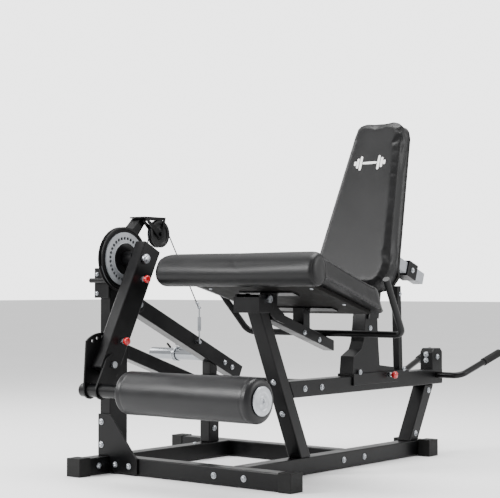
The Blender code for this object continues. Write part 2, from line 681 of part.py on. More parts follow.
def cable_route():
    """The cable's middle line: round the cam, over the pulley, down to the lever."""
    cam_r, pull_r = GROOVE_R + CABLE_R + 0.4, PULLEY_GROOVE_R + CABLE_R + 0.4
    dy, dz = PULLEY[0] - AXIS[0], PULLEY[1] - AXIS[1]
    reach = math.hypot(dy, dz)
    along = math.degrees(math.atan2(dz, dy))
    tilt = math.degrees(math.acos((cam_r + pull_r) / reach))
    leave = along - tilt                       # on the cam's underside, crossing over
    join_on = along + 180 - tilt               # on the pulley's front side
    top = Vector((0, SHACKLE[0], SHACKLE[1] + 128))
    ey, ez = top.y - PULLEY[0], top.z - PULLEY[1]
    off = math.degrees(math.atan2(ez, ey)) + math.degrees(math.acos(pull_r / math.hypot(ey, ez)))
    line = arc(AXIS, cam_r, leave - 150, leave, 18)
    line += arc(PULLEY, pull_r, join_on, off, 12)
    return line + [(top.y, top.z)]


def cable_side():
    swept("cable", [(CABLE_X, y, z) for y, z in cable_route()], CABLE_R, "steel_rope", 1)

    # the turnbuckle hangs between the cable's end and the bolt on the lever's side
    y0, z0 = SHACKLE
    hook = drum("turnbuckle", (y0, z0), 7.0, UP_X[1] + GAP, CABLE_X + 6, "zinc_steel", 24)
    end = cable_route()[-1]
    low = Vector((CABLE_X, y0, z0))
    high = Vector((CABLE_X, *end))
    aim = (high - low).normalized()
    join(hook, tube_along("turnbuckle_rod", [(low, 0), (high - aim * 1.5, 0)], 3.0, "zinc_steel"))
    join(hook, tube_along("turnbuckle_body", [(low + aim * 44, 0), (low + aim * 98, 0)], 7.5, "zinc_steel"))


# --- seat -------------------------------------------------------------------
def seat_point(along, up):
    """A YZ point on the seat: mm along the pad from the roll's axis, mm above its top face."""
    c, s = math.cos(rad(SEAT_TILT)), math.sin(rad(SEAT_TILT))
    y0, z0 = ROLL[0], 792.0
    return (y0 + along * c + up * s, z0 - along * s + up * c)


def seat_side():
    t = SEAT_THICK
    end, low = SEAT_LEN, SEAT_LEN + 66
    wide, slim = SEAT_HALF - 2, SEAT_REAR_HALF
    bm = bmesh.new()
    corner = 46.0

    def ring(up, rear):
        pts = [(-wide, 0), (wide, 0), (slim + 4, rear - corner), (slim - 8, rear - 14), (slim - 40, rear)]
        pts += [(-x, a) for x, a in reversed(pts[2:])]
        return [bm.verts.new(vec(x, *seat_point(a, up))) for x, a in pts]

    low_ring, top_ring = ring(-t, low), ring(0, end)
    bm.faces.new(low_ring)
    bm.faces.new(top_ring)
    for i in range(len(low_ring)):
        j = (i + 1) % len(low_ring)
        bm.faces.new((low_ring[i], low_ring[j], top_ring[j], top_ring[i]))
    pad = solid("seat_pad", bm, "vinyl_black")
    soften(pad, 9.0)
    h = SEAT_HALF
    roll = [(-h, 0), (-h, ROLL_R - 24), (-h + 3, ROLL_R - 12), (-h + 9, ROLL_R - 4), (-h + 19, ROLL_R),
            (h - 19, ROLL_R), (h - 9, ROLL_R - 4), (h - 3, ROLL_R - 12), (h, ROLL_R - 24), (h, 0)]
    join(pad, turned("seat_roll", ROLL, roll, "vinyl_black", 40))
    origin_to(pad, 0, *SEAT_PIVOT)

    under = -t - GAP
    board = [seat_point(78, under), seat_point(low - 60, under), seat_point(low - 60, under - BOARD),
             seat_point(78, under - BOARD)]
    wood = plate_yz("seat_board", board, -250, 250, "plywood", 2.0)
    origin_to(wood, 0, *SEAT_PIVOT)

    rest = under - BOARD - GAP
    half = 25.0
    front, rear = (207.0, 601.4), (583.0, 480.0)
    slope = (rear[1] - front[1]) / (rear[0] - front[0])
    deep = SEAT_TUBE_D / math.cos(math.atan(slope))
    tube = plate_yz("seat_frame", [front, rear, (rear[0], rear[1] - deep), (front[0], front[1] - deep)],
                    -half, half, "powder_coat_black", 3.0)
    for a, wing in ((200.0, 120.0), (400.0, 150.0)):
        top = [seat_point(a - 20, rest), seat_point(a + 20, rest)]
        flat = [seat_point(a + 20, rest - 5), seat_point(a - 20, rest - 5)]
        join(tube, plate_yz("seat_bearer", top + flat, -wing, wing, "powder_coat_black"))
        foot = [(y, front[1] + slope * (y - front[0]) - 12) for y in (top[1][0], top[0][0])]
        web = [seat_point(a - 20, rest - 2), seat_point(a + 20, rest - 2)]
        join(tube, plate_yz("seat_bearer_web", web + foot, -half + 1, half - 1, "powder_coat_black"))
    link = hull(arc(SEAT_PIVOT, 20, 0, 360, 16) + [(196, 606), (262, 580), (262, 548), (216, 560)])
    inner = TUBE / 2 + RUN
    for side in (-1, 1):
        join(tube, plate_yz("seat_link", link, side * inner, side * (inner + PLATE), "powder_coat_black"))
    join(tube, block("seat_link_bar", (-inner - 1, inner + 1), (222, 252), (556, 580), "powder_coat_black"))
    join(tube, drum("seat_barrel", SEAT_PIVOT, 15, -49.4, 49.4, "powder_coat_black"))
    cut(tube, drum("seat_barrel_bore", SEAT_PIVOT, 8 + RUN, -90, 90, steps=24))
    origin_to(tube, 0, *SEAT_PIVOT)
    pin = [(-71, 0), (-71, 12), (-58 - GAP, 12), (-58 - GAP, 8), (58 + GAP, 8), (58 + GAP, 13), (68, 13), (68, 0)]
    turned("seat_hinge_pin", SEAT_PIVOT, pin, "zinc_steel", 24)

    y = 541.0
    z = front[1] + slope * (y - front[0]) + 12.5 / math.cos(math.atan(slope)) + 0.6
    path = [((392, 374, 704), 0), ((352, y, z), 34), ((-352, y, z), 34), ((-392, 374, 704), 0)]
    handle = tube_along("seat_handle", path, 12.0, "powder_coat_black")
    origin_to(handle, 0, *SEAT_PIVOT)


# --- backrest ---------------------------------------------------------------
def back_point(up, behind):
    """A YZ point on the backrest: mm up the pad from its foot, mm behind its front face."""
    c, s = math.cos(rad(BACK_LEAN)), math.sin(rad(BACK_LEAN))
    return (BACK_FOOT[0] + up * s + behind * c, BACK_FOOT[1] + up * c - behind * s)


BACK_PIVOT = back_point(BACK_PIVOT_UP, BACK_PIVOT_IN)


def pad_outline(low, top, length, inset):
    """Half widths of the backrest against the height up the pad."""
    rows = [(inset, low * 0.52), (inset + 9, low * 0.72), (inset + 30, low * 0.88), (inset + 62, low * 0.97),
            (inset + 100, low - inset), (length - 52, top - inset + 2), (length - 22, top - inset - 9),
            (length - 7 - inset / 2, top - inset - 26), (length - inset, top - inset - 52)]
    return [(w, u) for u, w in rows] + [(-w, u) for u, w in reversed(rows)]


def back_side():
    def slab(name, behind, thick, outline, material, edge):
        pts = [vec(x, *back_point(u, behind)) for x, u in outline]
        y, z = back_point(0, thick)
        shift = vec(0, y - BACK_FOOT[0], z - BACK_FOOT[1])
        obj = solid(name, extrude(pts, shift), material)
        soften(obj, edge)
        return origin_to(obj, 0, *BACK_PIVOT)

    slab("back_pad", 0, BACK_THICK, pad_outline(BACK_HALF_LOW, BACK_HALF_TOP, BACK_LEN, 0), "vinyl_black", 12.0)
    slab("back_board", BACK_THICK + GAP, BOARD, pad_outline(BACK_HALF_LOW, BACK_HALF_TOP, BACK_LEN, 16),
         "plywood", 2.0)
    inner = BACK_THICK + BOARD + 2 * GAP
    black = "powder_coat_black"
    frame = slab("back_frame", inner, 6, [(-96, 42), (96, 42), (96, 330), (-96, 330)], black, 0)
    frame.data.transform(Matrix.Translation(vec(0, *BACK_PIVOT)))
    frame.location = (0, 0, 0)
    ups = [(60, inner + 3), (430, inner + 3), (430, inner + 40), (166, inner + 40), (136, BACK_PIVOT_IN + 24),
           (92, BACK_PIVOT_IN + 24), (60, inner + 40)]
    join(frame, plate_yz("back_spine", [back_point(*p) for p in ups], -25, 25, black, 2.0))
    cut(frame, drum("back_bore", BACK_PIVOT, 8 + RUN, -60, 60, steps=24))
    origin_to(frame, 0, *BACK_PIVOT)

    x = (48, 94)
    lo, hi = 152, 198
    start = inner + 6 + GAP
    ends = [(lo, start), (hi, start), (hi, 372), (lo, 372)]
    tube = plate_yz("back_tube", [back_point(*p) for p in ends], *x, "grey_steel", 3.0)
    origin_to(tube, x[0], *BACK_PIVOT)
    sleeve = [(lo - 8, 240), (hi + 8, 240), (hi + 8, 306), (lo - 8, 306)]
    clamp = plate_yz("back_clamp", [back_point(*p) for p in sleeve], x[0] - 8, x[1] + 8, black, 2.0)
    bore = [(lo - GAP, 200), (hi + GAP, 200), (hi + GAP, 400), (lo - GAP, 400)]
    cut(clamp, plate_yz("back_clamp_bore", [back_point(*p) for p in bore], x[0] - GAP, x[1] + GAP))
    origin_to(clamp, x[0], *BACK_PIVOT)
    pin = [(-50, 0), (-50, 12), (-39, 12), (-39, 8), (39, 8), (39, 12), (46, 12), (46, 0)]
    turned("back_hinge_pin", BACK_PIVOT, pin, "zinc_steel", 24)


# --- carriage ---------------------------------------------------------------
def carriage_side():
    black = "powder_coat_black"
    inner = TUBE / 2 + SLIDE
    outer = inner + 7
    top = RAIL_TOP + SLIDE
    y0, y1 = 692.0, 1078.0
    body = block("carriage", (-outer, outer), (y0, y1), (306, top + 8), black, 1.5)
    cut(body, block("carriage_way", (-inner, inner), (y0 - 20, y1 + 20), (280, top)))
    cut(body, block("carriage_trim", (-90, 90), (y0 + 300, y1 + 20), (280, 330)))
    box = [(y0, top + 7), (y0 + 290, top + 7), (y0 + 290, top + 22), (880, top + 34), (870, 470), (862, 612),
           (790, 612), (768, 470), (752, 440), (700, 415)]
    join(body, plate_yz("carriage_post", box, -30, 30, black, 2.0))
    lug = hull(arc(BACK_PIVOT, 28, 0, 360, 24) + [(794, 556), (860, 556)])
    for side in (-1, 1):
        x = sorted((side * 29.5, side * 38.5))
        join(body, plate_yz("carriage_lug", lug, *x, black))
    strut = [(1041, top + 6), (1069, top + 6), (1057, 682), (1029, 682)]
    join(body, plate_yz("carriage_strut", strut, -14, 14, black, 2.0))
    cut(
        body,
        drum("lug_bore", BACK_PIVOT, 8 + GAP, -70, 70, steps=24),
        drum("rail_pin_bore", (935, 336), PIN_R + RUN, 20, 70, steps=24),
    )
    pop_pin("rail_pop_pin", (935, 336), outer, TUBE / 2 + 0.2)


base()
upright_side()
spine_side()
pulley_side()
arm_side()
roller_side()
lever_side()
cable_side()
seat_side()
back_side()
carriage_side()
centre_on_footprint()
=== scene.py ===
"""A plate-loaded leg extension and lying leg curl machine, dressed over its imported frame.

Lengths in this file are millimetres in the machine's own layout: x = 0 is the middle
of the spine tube, y = 0 the front face of the front cross tube, z = 0 the floor.
Layout.row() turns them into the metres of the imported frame.  +Y runs from the foam
roller to the rear handlebar and the weight upright stands on the -X side.
"""

from __future__ import annotations

import json
import logging
import math
from dataclasses import dataclass
from enum import Enum

import bmesh
import bpy
import numpy as np
from mathutils import Matrix, Vector
from mathutils.bvhtree import BVHTree

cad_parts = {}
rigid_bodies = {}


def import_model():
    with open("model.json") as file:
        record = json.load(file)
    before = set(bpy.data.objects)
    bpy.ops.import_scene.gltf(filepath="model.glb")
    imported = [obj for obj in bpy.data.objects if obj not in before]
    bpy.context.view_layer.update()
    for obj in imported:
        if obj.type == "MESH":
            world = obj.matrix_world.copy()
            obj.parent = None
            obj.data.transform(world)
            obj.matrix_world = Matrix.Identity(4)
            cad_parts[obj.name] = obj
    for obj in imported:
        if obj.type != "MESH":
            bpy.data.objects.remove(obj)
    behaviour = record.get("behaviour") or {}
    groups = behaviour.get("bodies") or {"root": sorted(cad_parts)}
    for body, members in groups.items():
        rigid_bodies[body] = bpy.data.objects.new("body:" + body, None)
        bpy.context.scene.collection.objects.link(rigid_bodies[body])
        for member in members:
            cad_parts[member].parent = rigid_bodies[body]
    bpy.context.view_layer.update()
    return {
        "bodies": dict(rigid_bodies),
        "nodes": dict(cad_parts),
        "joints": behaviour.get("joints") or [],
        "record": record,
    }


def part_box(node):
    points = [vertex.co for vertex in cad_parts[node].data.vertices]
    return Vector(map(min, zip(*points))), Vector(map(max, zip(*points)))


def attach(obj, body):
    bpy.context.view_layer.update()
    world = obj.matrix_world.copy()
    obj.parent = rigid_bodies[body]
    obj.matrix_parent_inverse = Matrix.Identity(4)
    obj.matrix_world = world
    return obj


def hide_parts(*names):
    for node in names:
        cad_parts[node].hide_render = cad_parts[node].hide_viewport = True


LOG = logging.getLogger("leg_curl")

X_AXIS = np.array([1.0, 0.0, 0.0])
CAM_X, CAM_AXIS = -549.0, (50.0, 780.0)          # the cam's and the cable's plane, and (y, z)
PULLEY_AXIS = (244.0, 878.0)
ROLL_AXIS, ROLL_R = (52.0, 735.0), 57.0          # the seat's front roll
BACK_FOOT = (690.0, 668.0)
LEVER_PIVOT = (146.0, 612.0)
SHACKLE = (480.0, 462.0)                         # where the turnbuckle hangs on the lever
GROOVE_R, PULLEY_GROOVE_R = 108.0, 45.0
# degrees: the arm forward of straight down, the seat and the lever down to the rear, the back
# behind upright
ARM_LEAN, SEAT_TILT, LEVER_DROP, BACK_LEAN = 26.8, 16.0, 25.0, 19.4


# --- places -----------------------------------------------------------------
@dataclass(frozen=True)
class Layout:
    """Where the machine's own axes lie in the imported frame.

    Args:
        shift: what is added to a place in metres, (x, y, z).
    """

    shift: tuple[float, float, float]

    @classmethod
    def from_frame(cls) -> "Layout":
        """Reads the shift from the cam, which is centred on x = -549 and y = 50.

        Returns:
            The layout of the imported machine.
        """
        low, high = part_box("cam")
        return cls(((low[0] + high[0]) / 2 + 0.549, (low[1] + high[1]) / 2 - 0.050, 0.0))

    def row(self, points: object) -> np.ndarray:
        """Millimetres in the machine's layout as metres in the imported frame.

        Args:
            points: one point or an array of points.

        Returns:
            The same points, in metres.
        """
        return np.asarray(points, dtype=float) * 0.001 + np.asarray(self.shift)


def on_arm(down: float, back: float) -> tuple[float, float]:
    """A (y, z) place on the roller arm.

    Args:
        down: down the arm from the cam's axis, mm.
        back: behind that axis, mm.

    Returns:
        The place as (y, z), mm.
    """
    c, s = math.cos(math.radians(ARM_LEAN)), math.sin(math.radians(ARM_LEAN))
    return CAM_AXIS[0] - down * s + back * c, CAM_AXIS[1] - down * c - back * s


def on_seat(along: float, up: float) -> tuple[float, float]:
    """A (y, z) place on the seat.

    Args:
        along: towards the rear from the roll's axis, mm.
        up: above the top face, mm.

    Returns:
        The place as (y, z), mm.
    """
    c, s = math.cos(math.radians(SEAT_TILT)), math.sin(math.radians(SEAT_TILT))
    y, z = ROLL_AXIS[0] + ROLL_R * s, ROLL_AXIS[1] + ROLL_R * c
    return y + along * c + up * s, z - along * s + up * c


def on_back(up: float, behind: float) -> tuple[float, float]:
    """A (y, z) place on the backrest.

    Args:
        up: up the pad from its foot, mm.
        behind: behind the front face, mm.

    Returns:
        The place as (y, z), mm.
    """
    c, s = math.cos(math.radians(BACK_LEAN)), math.sin(math.radians(BACK_LEAN))
    return BACK_FOOT[0] + up * s + behind * c, BACK_FOOT[1] + up * c - behind * s


def on_lever(along: float, across: float) -> tuple[float, float]:
    """A (y, z) place on the weight lever.

    Args:
        along: towards the weights from the pivot, mm.
        across: above the lever's middle, mm.

    Returns:
        The place as (y, z), mm.
    """
    c, s = math.cos(math.radians(LEVER_DROP)), math.sin(math.radians(LEVER_DROP))
    return LEVER_PIVOT[0] + along * c + across * s, LEVER_PIVOT[1] - along * s + across * c


# --- finishes ---------------------------------------------------------------
def linear(hex_colour: str) -> tuple[float, float, float, float]:
    """An sRGB hex colour as linear red, green, blue and alpha.

    Args:
        hex_colour: six hex digits, such as "1a1a1c".

    Returns:
        The linear colour, with alpha 1.
    """
    srgb = np.array([int(hex_colour[i:i + 2], 16) for i in (0, 2, 4)]) / 255.0
    flat = np.where(srgb <= 0.04045, srgb / 12.92, ((srgb + 0.055) / 1.055) ** 2.4)
    return float(flat[0]), float(flat[1]), float(flat[2]), 1.0


def add_node(
    tree: bpy.types.NodeTree,
    kind: str,
    inputs: dict[str, object] | None = None,
    links: dict[str, bpy.types.NodeSocket] | None = None,
    **settings: object,
) -> bpy.types.Node:
    """Adds one shader node with its settings, input values and links.

    Args:
        tree: the material's node tree.
        kind: the node's type name.
        inputs: values for its input sockets, by name.
        links: sockets that feed its input sockets, by name.
        **settings: the node's own attributes.

    Returns:
        The new node.
    """
    node = tree.nodes.new(kind)
    for key, value in settings.items():
        setattr(node, key, value)
    for key, value in (inputs or {}).items():
        node.inputs[key].default_value = value
    for key, socket in (links or {}).items():
        tree.links.new(socket, node.inputs[key])
    return node


class Relief(Enum):
    """How a surface was made, which decides its relief."""

    SPRAYED = "sprayed"
    GRAINED = "grained"
    BRUSHED = "brushed"
    SAWN = "sawn"
    MOULDED = "moulded"


@dataclass(frozen=True)
class Finish:
    """One real material with the way its surface was made.

    Args:
        name: what a maker calls it.
        colour: its sRGB hex colour.
        worn: the colour it drifts to in rubbed or dusty patches.
        rough: its roughness where it is cleanest.
        rough_worn: its roughness where it is most worn.
        metal: 1 for bare metal, 0 for everything else.
        relief: how its surface was made.
        grain: size of one grain of the relief, mm.
        depth: height of the relief, mm.
        patch: size of the worn patches, mm.
        coat: weight of a clear gloss layer.
        gloss: strength of the mirror reflection; 0.5 is a common plastic's.
    """

    name: str
    colour: str
    worn: str
    rough: float
    rough_worn: float
    metal: float
    relief: Relief
    grain: float
    depth: float
    patch: float = 70.0
    coat: float = 0.0
    gloss: float = 0.5

    def build(self) -> bpy.types.Material:
        """Builds the shader: colour and roughness drift over the patches, and the relief is a bump.

        Returns:
            The material.
        """
        material = bpy.data.materials.new(self.name)
        material.use_nodes = True
        tree = material.node_tree
        tree.nodes.clear()
        place = add_node(tree, "ShaderNodeTexCoord").outputs["Object"]
        patches = add_node(
            tree, "ShaderNodeTexNoise",
            {"Scale": 1000.0 / self.patch, "Detail": 5.0, "Roughness": 0.6}, {"Vector": place}
        ).outputs["Fac"]
        colour = add_node(tree, "ShaderNodeValToRGB", links={"Fac": patches})
        colour.color_ramp.elements[0].position, colour.color_ramp.elements[1].position = 0.42, 0.78
        colour.color_ramp.elements[0].color = linear(self.colour)
        colour.color_ramp.elements[1].color = linear(self.worn)
        rough = add_node(
            tree, "ShaderNodeMapRange",
            {"From Min": 0.3, "From Max": 0.75, "To Min": self.rough, "To Max": self.rough_worn},
            {"Value": patches},
        ).outputs["Result"]
        height = self._height(tree, place)
        bump = add_node(
            tree, "ShaderNodeBump", {"Strength": 1.0, "Distance": self.depth * 0.001}, {"Height": height}
        ).outputs["Normal"]
        shader = add_node(
            tree, "ShaderNodeBsdfPrincipled",
            {"Metallic": self.metal, "Coat Weight": self.coat, "Coat Roughness": 0.08,
             "Specular IOR Level": self.gloss},
            {"Base Color": colour.outputs["Color"], "Roughness": rough, "Normal": bump},
        )
        add_node(tree, "ShaderNodeOutputMaterial", links={"Surface": shader.outputs["BSDF"]})
        return material

    def _height(self, tree: bpy.types.NodeTree, place: bpy.types.NodeSocket) -> bpy.types.NodeSocket:
        """The relief's height, from 0 to 1.

        Args:
            tree: the material's node tree.
            place: the socket that gives the place on the piece.

        Returns:
            The socket with the height.
        """
        per_metre = 1000.0 / self.grain
        if self.relief is Relief.GRAINED:
            cells = add_node(
                tree, "ShaderNodeTexVoronoi", {"Scale": per_metre, "Randomness": 0.9}, {"Vector": place},
                feature="DISTANCE_TO_EDGE",
            ).outputs["Distance"]
            return add_node(
                tree, "ShaderNodeMapRange",
                {"From Min": 0.0, "From Max": 0.22, "To Min": 0.0, "To Max": 1.0},
                {"Value": cells},
            ).outputs["Result"]
        if self.relief is Relief.BRUSHED:
            stretched = add_node(
                tree, "ShaderNodeMapping", {"Scale": (0.05, 1.0, 1.0)}, {"Vector": place}
            ).outputs["Vector"]
            return add_node(
                tree, "ShaderNodeTexNoise", {"Scale": per_metre, "Detail": 2.0}, {"Vector": stretched}
            ).outputs["Fac"]
        if self.relief is Relief.SAWN:
            return add_node(
                tree, "ShaderNodeTexWave",
                {"Scale": per_metre / 6.0, "Distortion": 5.0, "Detail": 3.0, "Detail Scale": 1.4},
                {"Vector": place},
            ).outputs["Fac"]
        detail = 1.0 if self.relief is Relief.SPRAYED else 4.0
        return add_node(
            tree, "ShaderNodeTexNoise", {"Scale": per_metre, "Detail": detail}, {"Vector": place}
        ).outputs["Fac"]


# Baked polyester powder: an even satin black skin with a fine orange peel.
# The peel is about 1 mm across in life and drawn at 3 mm so that it shows.
POWDER_COAT = Finish(
    "powder_coat_satin_black", "040405", worn="09090a", rough=0.28, rough_worn=0.4, metal=0.0,
    relief=Relief.SPRAYED, grain=3.0, depth=0.05, gloss=0.2,
)
# Calendered PVC on foam: a shallow leather print, drawn at 2.4 mm cells, with a soft sheen.
VINYL = Finish(
    "upholstery_vinyl_black", "070708", worn="0d0d0e", rough=0.34, rough_worn=0.46, metal=0.0,
    relief=Relief.GRAINED, grain=2.4, depth=0.07, patch=120.0, gloss=0.24,
)
# Vinyl skin on a foam tube: tighter print and a little shinier than the cushions.
ROLLER_SKIN = Finish(
    "roller_vinyl_black", "08080a", worn="0f0f11", rough=0.32, rough_worn=0.44, metal=0.0,
    relief=Relief.GRAINED, grain=1.8, depth=0.05, patch=90.0, gloss=0.3,
)
# Doubled and sewn vinyl edge: duller, since the print is stretched flat.
SEAM_VINYL = Finish(
    "seam_vinyl_black", "060607", worn="0b0b0c", rough=0.5, rough_worn=0.6, metal=0.0,
    relief=Relief.MOULDED, grain=1.0, depth=0.03, gloss=0.25,
)
# Compression-moulded rubber: matt, with a light bloom of dust.
RUBBER = Finish(
    "moulded_rubber_black", "060606", worn="0f0f0e", rough=0.55, rough_worn=0.75, metal=0.0,
    relief=Relief.MOULDED, grain=1.6, depth=0.08, patch=40.0, gloss=0.25,
)
# Injection-moulded nylon: a fine spark texture.
NYLON = Finish(
    "moulded_nylon_black", "070708", worn="0e0e0f", rough=0.4, rough_worn=0.5, metal=0.0,
    relief=Relief.MOULDED, grain=1.2, depth=0.03, gloss=0.25,
)
# Bright zinc plate: silver with a faint cloudiness.
ZINC = Finish(
    "bright_zinc_plate", "b4b7bb", worn="8b8f94", rough=0.22, rough_worn=0.4, metal=1.0,
    relief=Relief.MOULDED, grain=2.0, depth=0.01, patch=15.0,
)
# Polished chrome plate with fine hairlines from sliding plates.
CHROME = Finish(
    "polished_chrome", "8e9195", worn="7a7e83", rough=0.1, rough_worn=0.22, metal=1.0,
    relief=Relief.BRUSHED, grain=1.2, depth=0.006, patch=60.0,
)
# Turned aluminium: satin, with lathe lines.
TURNED_ALUMINIUM = Finish(
    "turned_aluminium", "b9bcc0", worn="9a9da2", rough=0.3, rough_worn=0.42, metal=1.0,
    relief=Relief.BRUSHED, grain=1.0, depth=0.02, patch=30.0,
)
# Light grey powder coat on the adjusting tube.
GREY_COAT = Finish(
    "powder_coat_light_grey", "8d9094", worn="7a7d81", rough=0.38, rough_worn=0.5, metal=0.0,
    relief=Relief.SPRAYED, grain=3.0, depth=0.04,
)
# Drawn steel wire laid into rope, lightly oiled.
WIRE = Finish(
    "galvanised_wire_rope", "3c3e41", worn="26282a", rough=0.35, rough_worn=0.5, metal=1.0,
    relief=Relief.MOULDED, grain=1.0, depth=0.02, patch=12.0,
)
# Gloss red nylon knob with a clear, shiny skin.
RED_GLOSS = Finish(
    "gloss_red_nylon", "b3121a", worn="96090f", rough=0.18, rough_worn=0.28, metal=0.0,
    relief=Relief.MOULDED, grain=4.0, depth=0.01, patch=20.0, coat=0.5,
)
# Black-stained birch plywood behind the cushions.
PLYWOOD = Finish(
    "stained_birch_plywood", "080706", worn="100e0b", rough=0.6, rough_worn=0.75, metal=0.0,
    relief=Relief.SAWN, grain=4.0, depth=0.12, patch=50.0, gloss=0.2,
)
# Screen-printed white ink: flat and slightly chalky.
WHITE_INK = Finish(
    "screen_print_white", "e6e6e4", worn="d9d9d7", rough=0.5, rough_worn=0.6, metal=0.0,
    relief=Relief.MOULDED, grain=2.0, depth=0.01,
)
# Smooth seamless studio floor.
FLOOR_PAINT = Finish(
    "studio_floor_white", "f4f4f4", worn="f1f1f1", rough=0.6, rough_worn=0.7, metal=0.0,
    relief=Relief.MOULDED, grain=900.0, depth=0.01, patch=900.0,
)

BY_SLOT: dict[str, Finish] = {
    "powder_coat_black": POWDER_COAT,
    "vinyl_black": VINYL,
    "rubber_black": RUBBER,
    "nylon_black": NYLON,
    "zinc_steel": ZINC,
    "chrome_steel": CHROME,
    "grey_steel": GREY_COAT,
    "steel_rope": WIRE,
    "red_plastic": RED_GLOSS,
    "plywood": PLYWOOD,
}


class Paintshop:
    """Builds each finish once and puts it on pieces."""

    def __init__(self) -> None:
        """Starts with an empty shelf."""
        self.shelf: dict[str, bpy.types.Material] = {}

    def material(self, finish: Finish) -> bpy.types.Material:
        """The material of a finish, built on first use.

        Args:
            finish: the finish.

        Returns:
            Its material.
        """
        if finish.name not in self.shelf:
            self.shelf[finish.name] = finish.build()
        return self.shelf[finish.name]

    def dress(self, piece: bpy.types.Object, finish: Finish) -> None:
        """Gives a piece one finish all over.

        Args:
            piece: the piece.
            finish: its finish.
        """
        if piece.material_slots:
            for slot in piece.material_slots:
                slot.link = "OBJECT"
                slot.material = self.material(finish)
        else:
            piece.data.materials.append(self.material(finish))


# --- surfaces ---------------------------------------------------------------
def grid_faces(rows: int, columns: int, wrap: bool, first: int = 0) -> np.ndarray:
    """The quads of a grid of rows by columns points.

    Args:
        rows: number of rows.
        columns: number of points in a row.
        wrap: whether the last column joins the first.
        first: index of the grid's first point.

    Returns:
        An array of four indices a face.
    """
    last = columns if wrap else columns - 1
    i, j = np.meshgrid(np.arange(rows - 1), np.arange(last), indexing="ij")
    k = (j + 1) % columns
    quads = np.stack([i * columns + j, i * columns + k,
                      (i + 1) * columns + k, (i + 1) * columns + j], axis=-1)
    return quads.reshape(-1, 4) + first


def make_piece(name: str, points: np.ndarray, faces: np.ndarray, sharp: float = 34.0) -> bpy.types.Object:
    """Puts points and faces in a mesh, closes its poles and turns its faces outwards.

    Args:
        name: the piece's name.
        points: places in metres.
        faces: four indices a face.
        sharp: edges that bend more than this many degrees stay crisp.

    Returns:
        The piece.
    """
    mesh = bpy.data.meshes.new(name)
    mesh.from_pydata(points.reshape(-1, 3).tolist(), [], faces.tolist())
    shell = bmesh.new()
    shell.from_mesh(mesh)
    bmesh.ops.remove_doubles(shell, verts=shell.verts[:], dist=2e-6)
    bmesh.ops.dissolve_degenerate(shell, edges=shell.edges[:], dist=1e-7)
    bmesh.ops.recalc_face_normals(shell, faces=shell.faces[:])
    shell.to_mesh(mesh)
    shell.free()
    mesh.polygons.foreach_set("use_smooth", np.ones(len(mesh.polygons), dtype=bool))
    mesh.set_sharp_from_angle(angle=math.radians(sharp))
    piece = bpy.data.objects.new(name, mesh)
    bpy.context.scene.collection.objects.link(piece)
    return piece


def square_to(axis: np.ndarray) -> tuple[np.ndarray, np.ndarray]:
    """Two unit directions square to an axis and to each other.

    Args:
        axis: a unit direction.

    Returns:
        side = axis x hint, where hint is any direction not along the axis, and axis x side.
    """
    hint = np.array([0.0, 0.0, 1.0]) if abs(axis[2]) < 0.9 else np.array([0.0, 1.0, 0.0])
    side = np.cross(axis, hint)
    side /= np.linalg.norm(side)
    return side, np.cross(axis, side)


def lathe(
    profile: np.ndarray, start: np.ndarray, axis: np.ndarray,
    steps: int = 72, hexed: np.ndarray | None = None
) -> tuple[np.ndarray, np.ndarray]:
    """A turned surface.

    Its points are start + axis * h + r * (u cos a + v sin a), for each (h, r) of the profile
    and each angle a.

    A row marked hexed has its radius divided by cos(a folded into -30..30 degrees),
    which makes it six-sided.

    Args:
        profile: (h, r) rows in millimetres, closed when it starts and ends at r = 0
            or at the same point.
        start: where h is 0, mm.
        axis: unit direction of the axis.
        steps: facets round the axis.
        hexed: which rows are six-sided.

    Returns:
        Points in millimetres and faces.
    """
    angle = np.linspace(0.0, 2 * math.pi, steps, endpoint=False)
    u, v = square_to(axis)
    fold = (angle + math.pi / 6) % (math.pi / 3) - math.pi / 6
    stretch = np.ones((len(profile), steps))
    if hexed is not None:
        stretch[hexed] = 1.0 / np.cos(fold)
    ring = np.cos(angle)[:, None] * u + np.sin(angle)[:, None] * v
    radius = (profile[:, 1:2] * stretch)[:, :, None]
    points = start + profile[:, 0][:, None, None] * axis + radius * ring[None]
    return points.reshape(-1, 3), grid_faces(len(profile), steps, True)


def rounded(corners: list[tuple[float, float]], ease: float, count: int = 4) -> np.ndarray:
    """A profile with every inner corner rounded off by a short curve.

    Each corner b between a and c becomes the curve (1-t)^2 p + 2t(1-t) b + t^2 q,
    where p and q lie ease away.

    Args:
        corners: the (h, r) corners.
        ease: how far from the corner the curve starts, mm.
        count: points on each curve.

    Returns:
        The rounded profile.
    """
    a = np.asarray(corners, dtype=float)
    t = np.linspace(0.0, 1.0, count)[:, None]
    out = [a[:1]]
    for before, here, after in zip(a[:-2], a[1:-1], a[2:]):
        back, ahead = before - here, after - here
        lb, la = np.linalg.norm(back), np.linalg.norm(ahead)
        p = here + back / lb * min(ease, lb * 0.45)
        q = here + ahead / la * min(ease, la * 0.45)
        out.append((1 - t) ** 2 * p + 2 * t * (1 - t) * here + t**2 * q)
    return np.concatenate(out + [a[-1:]])


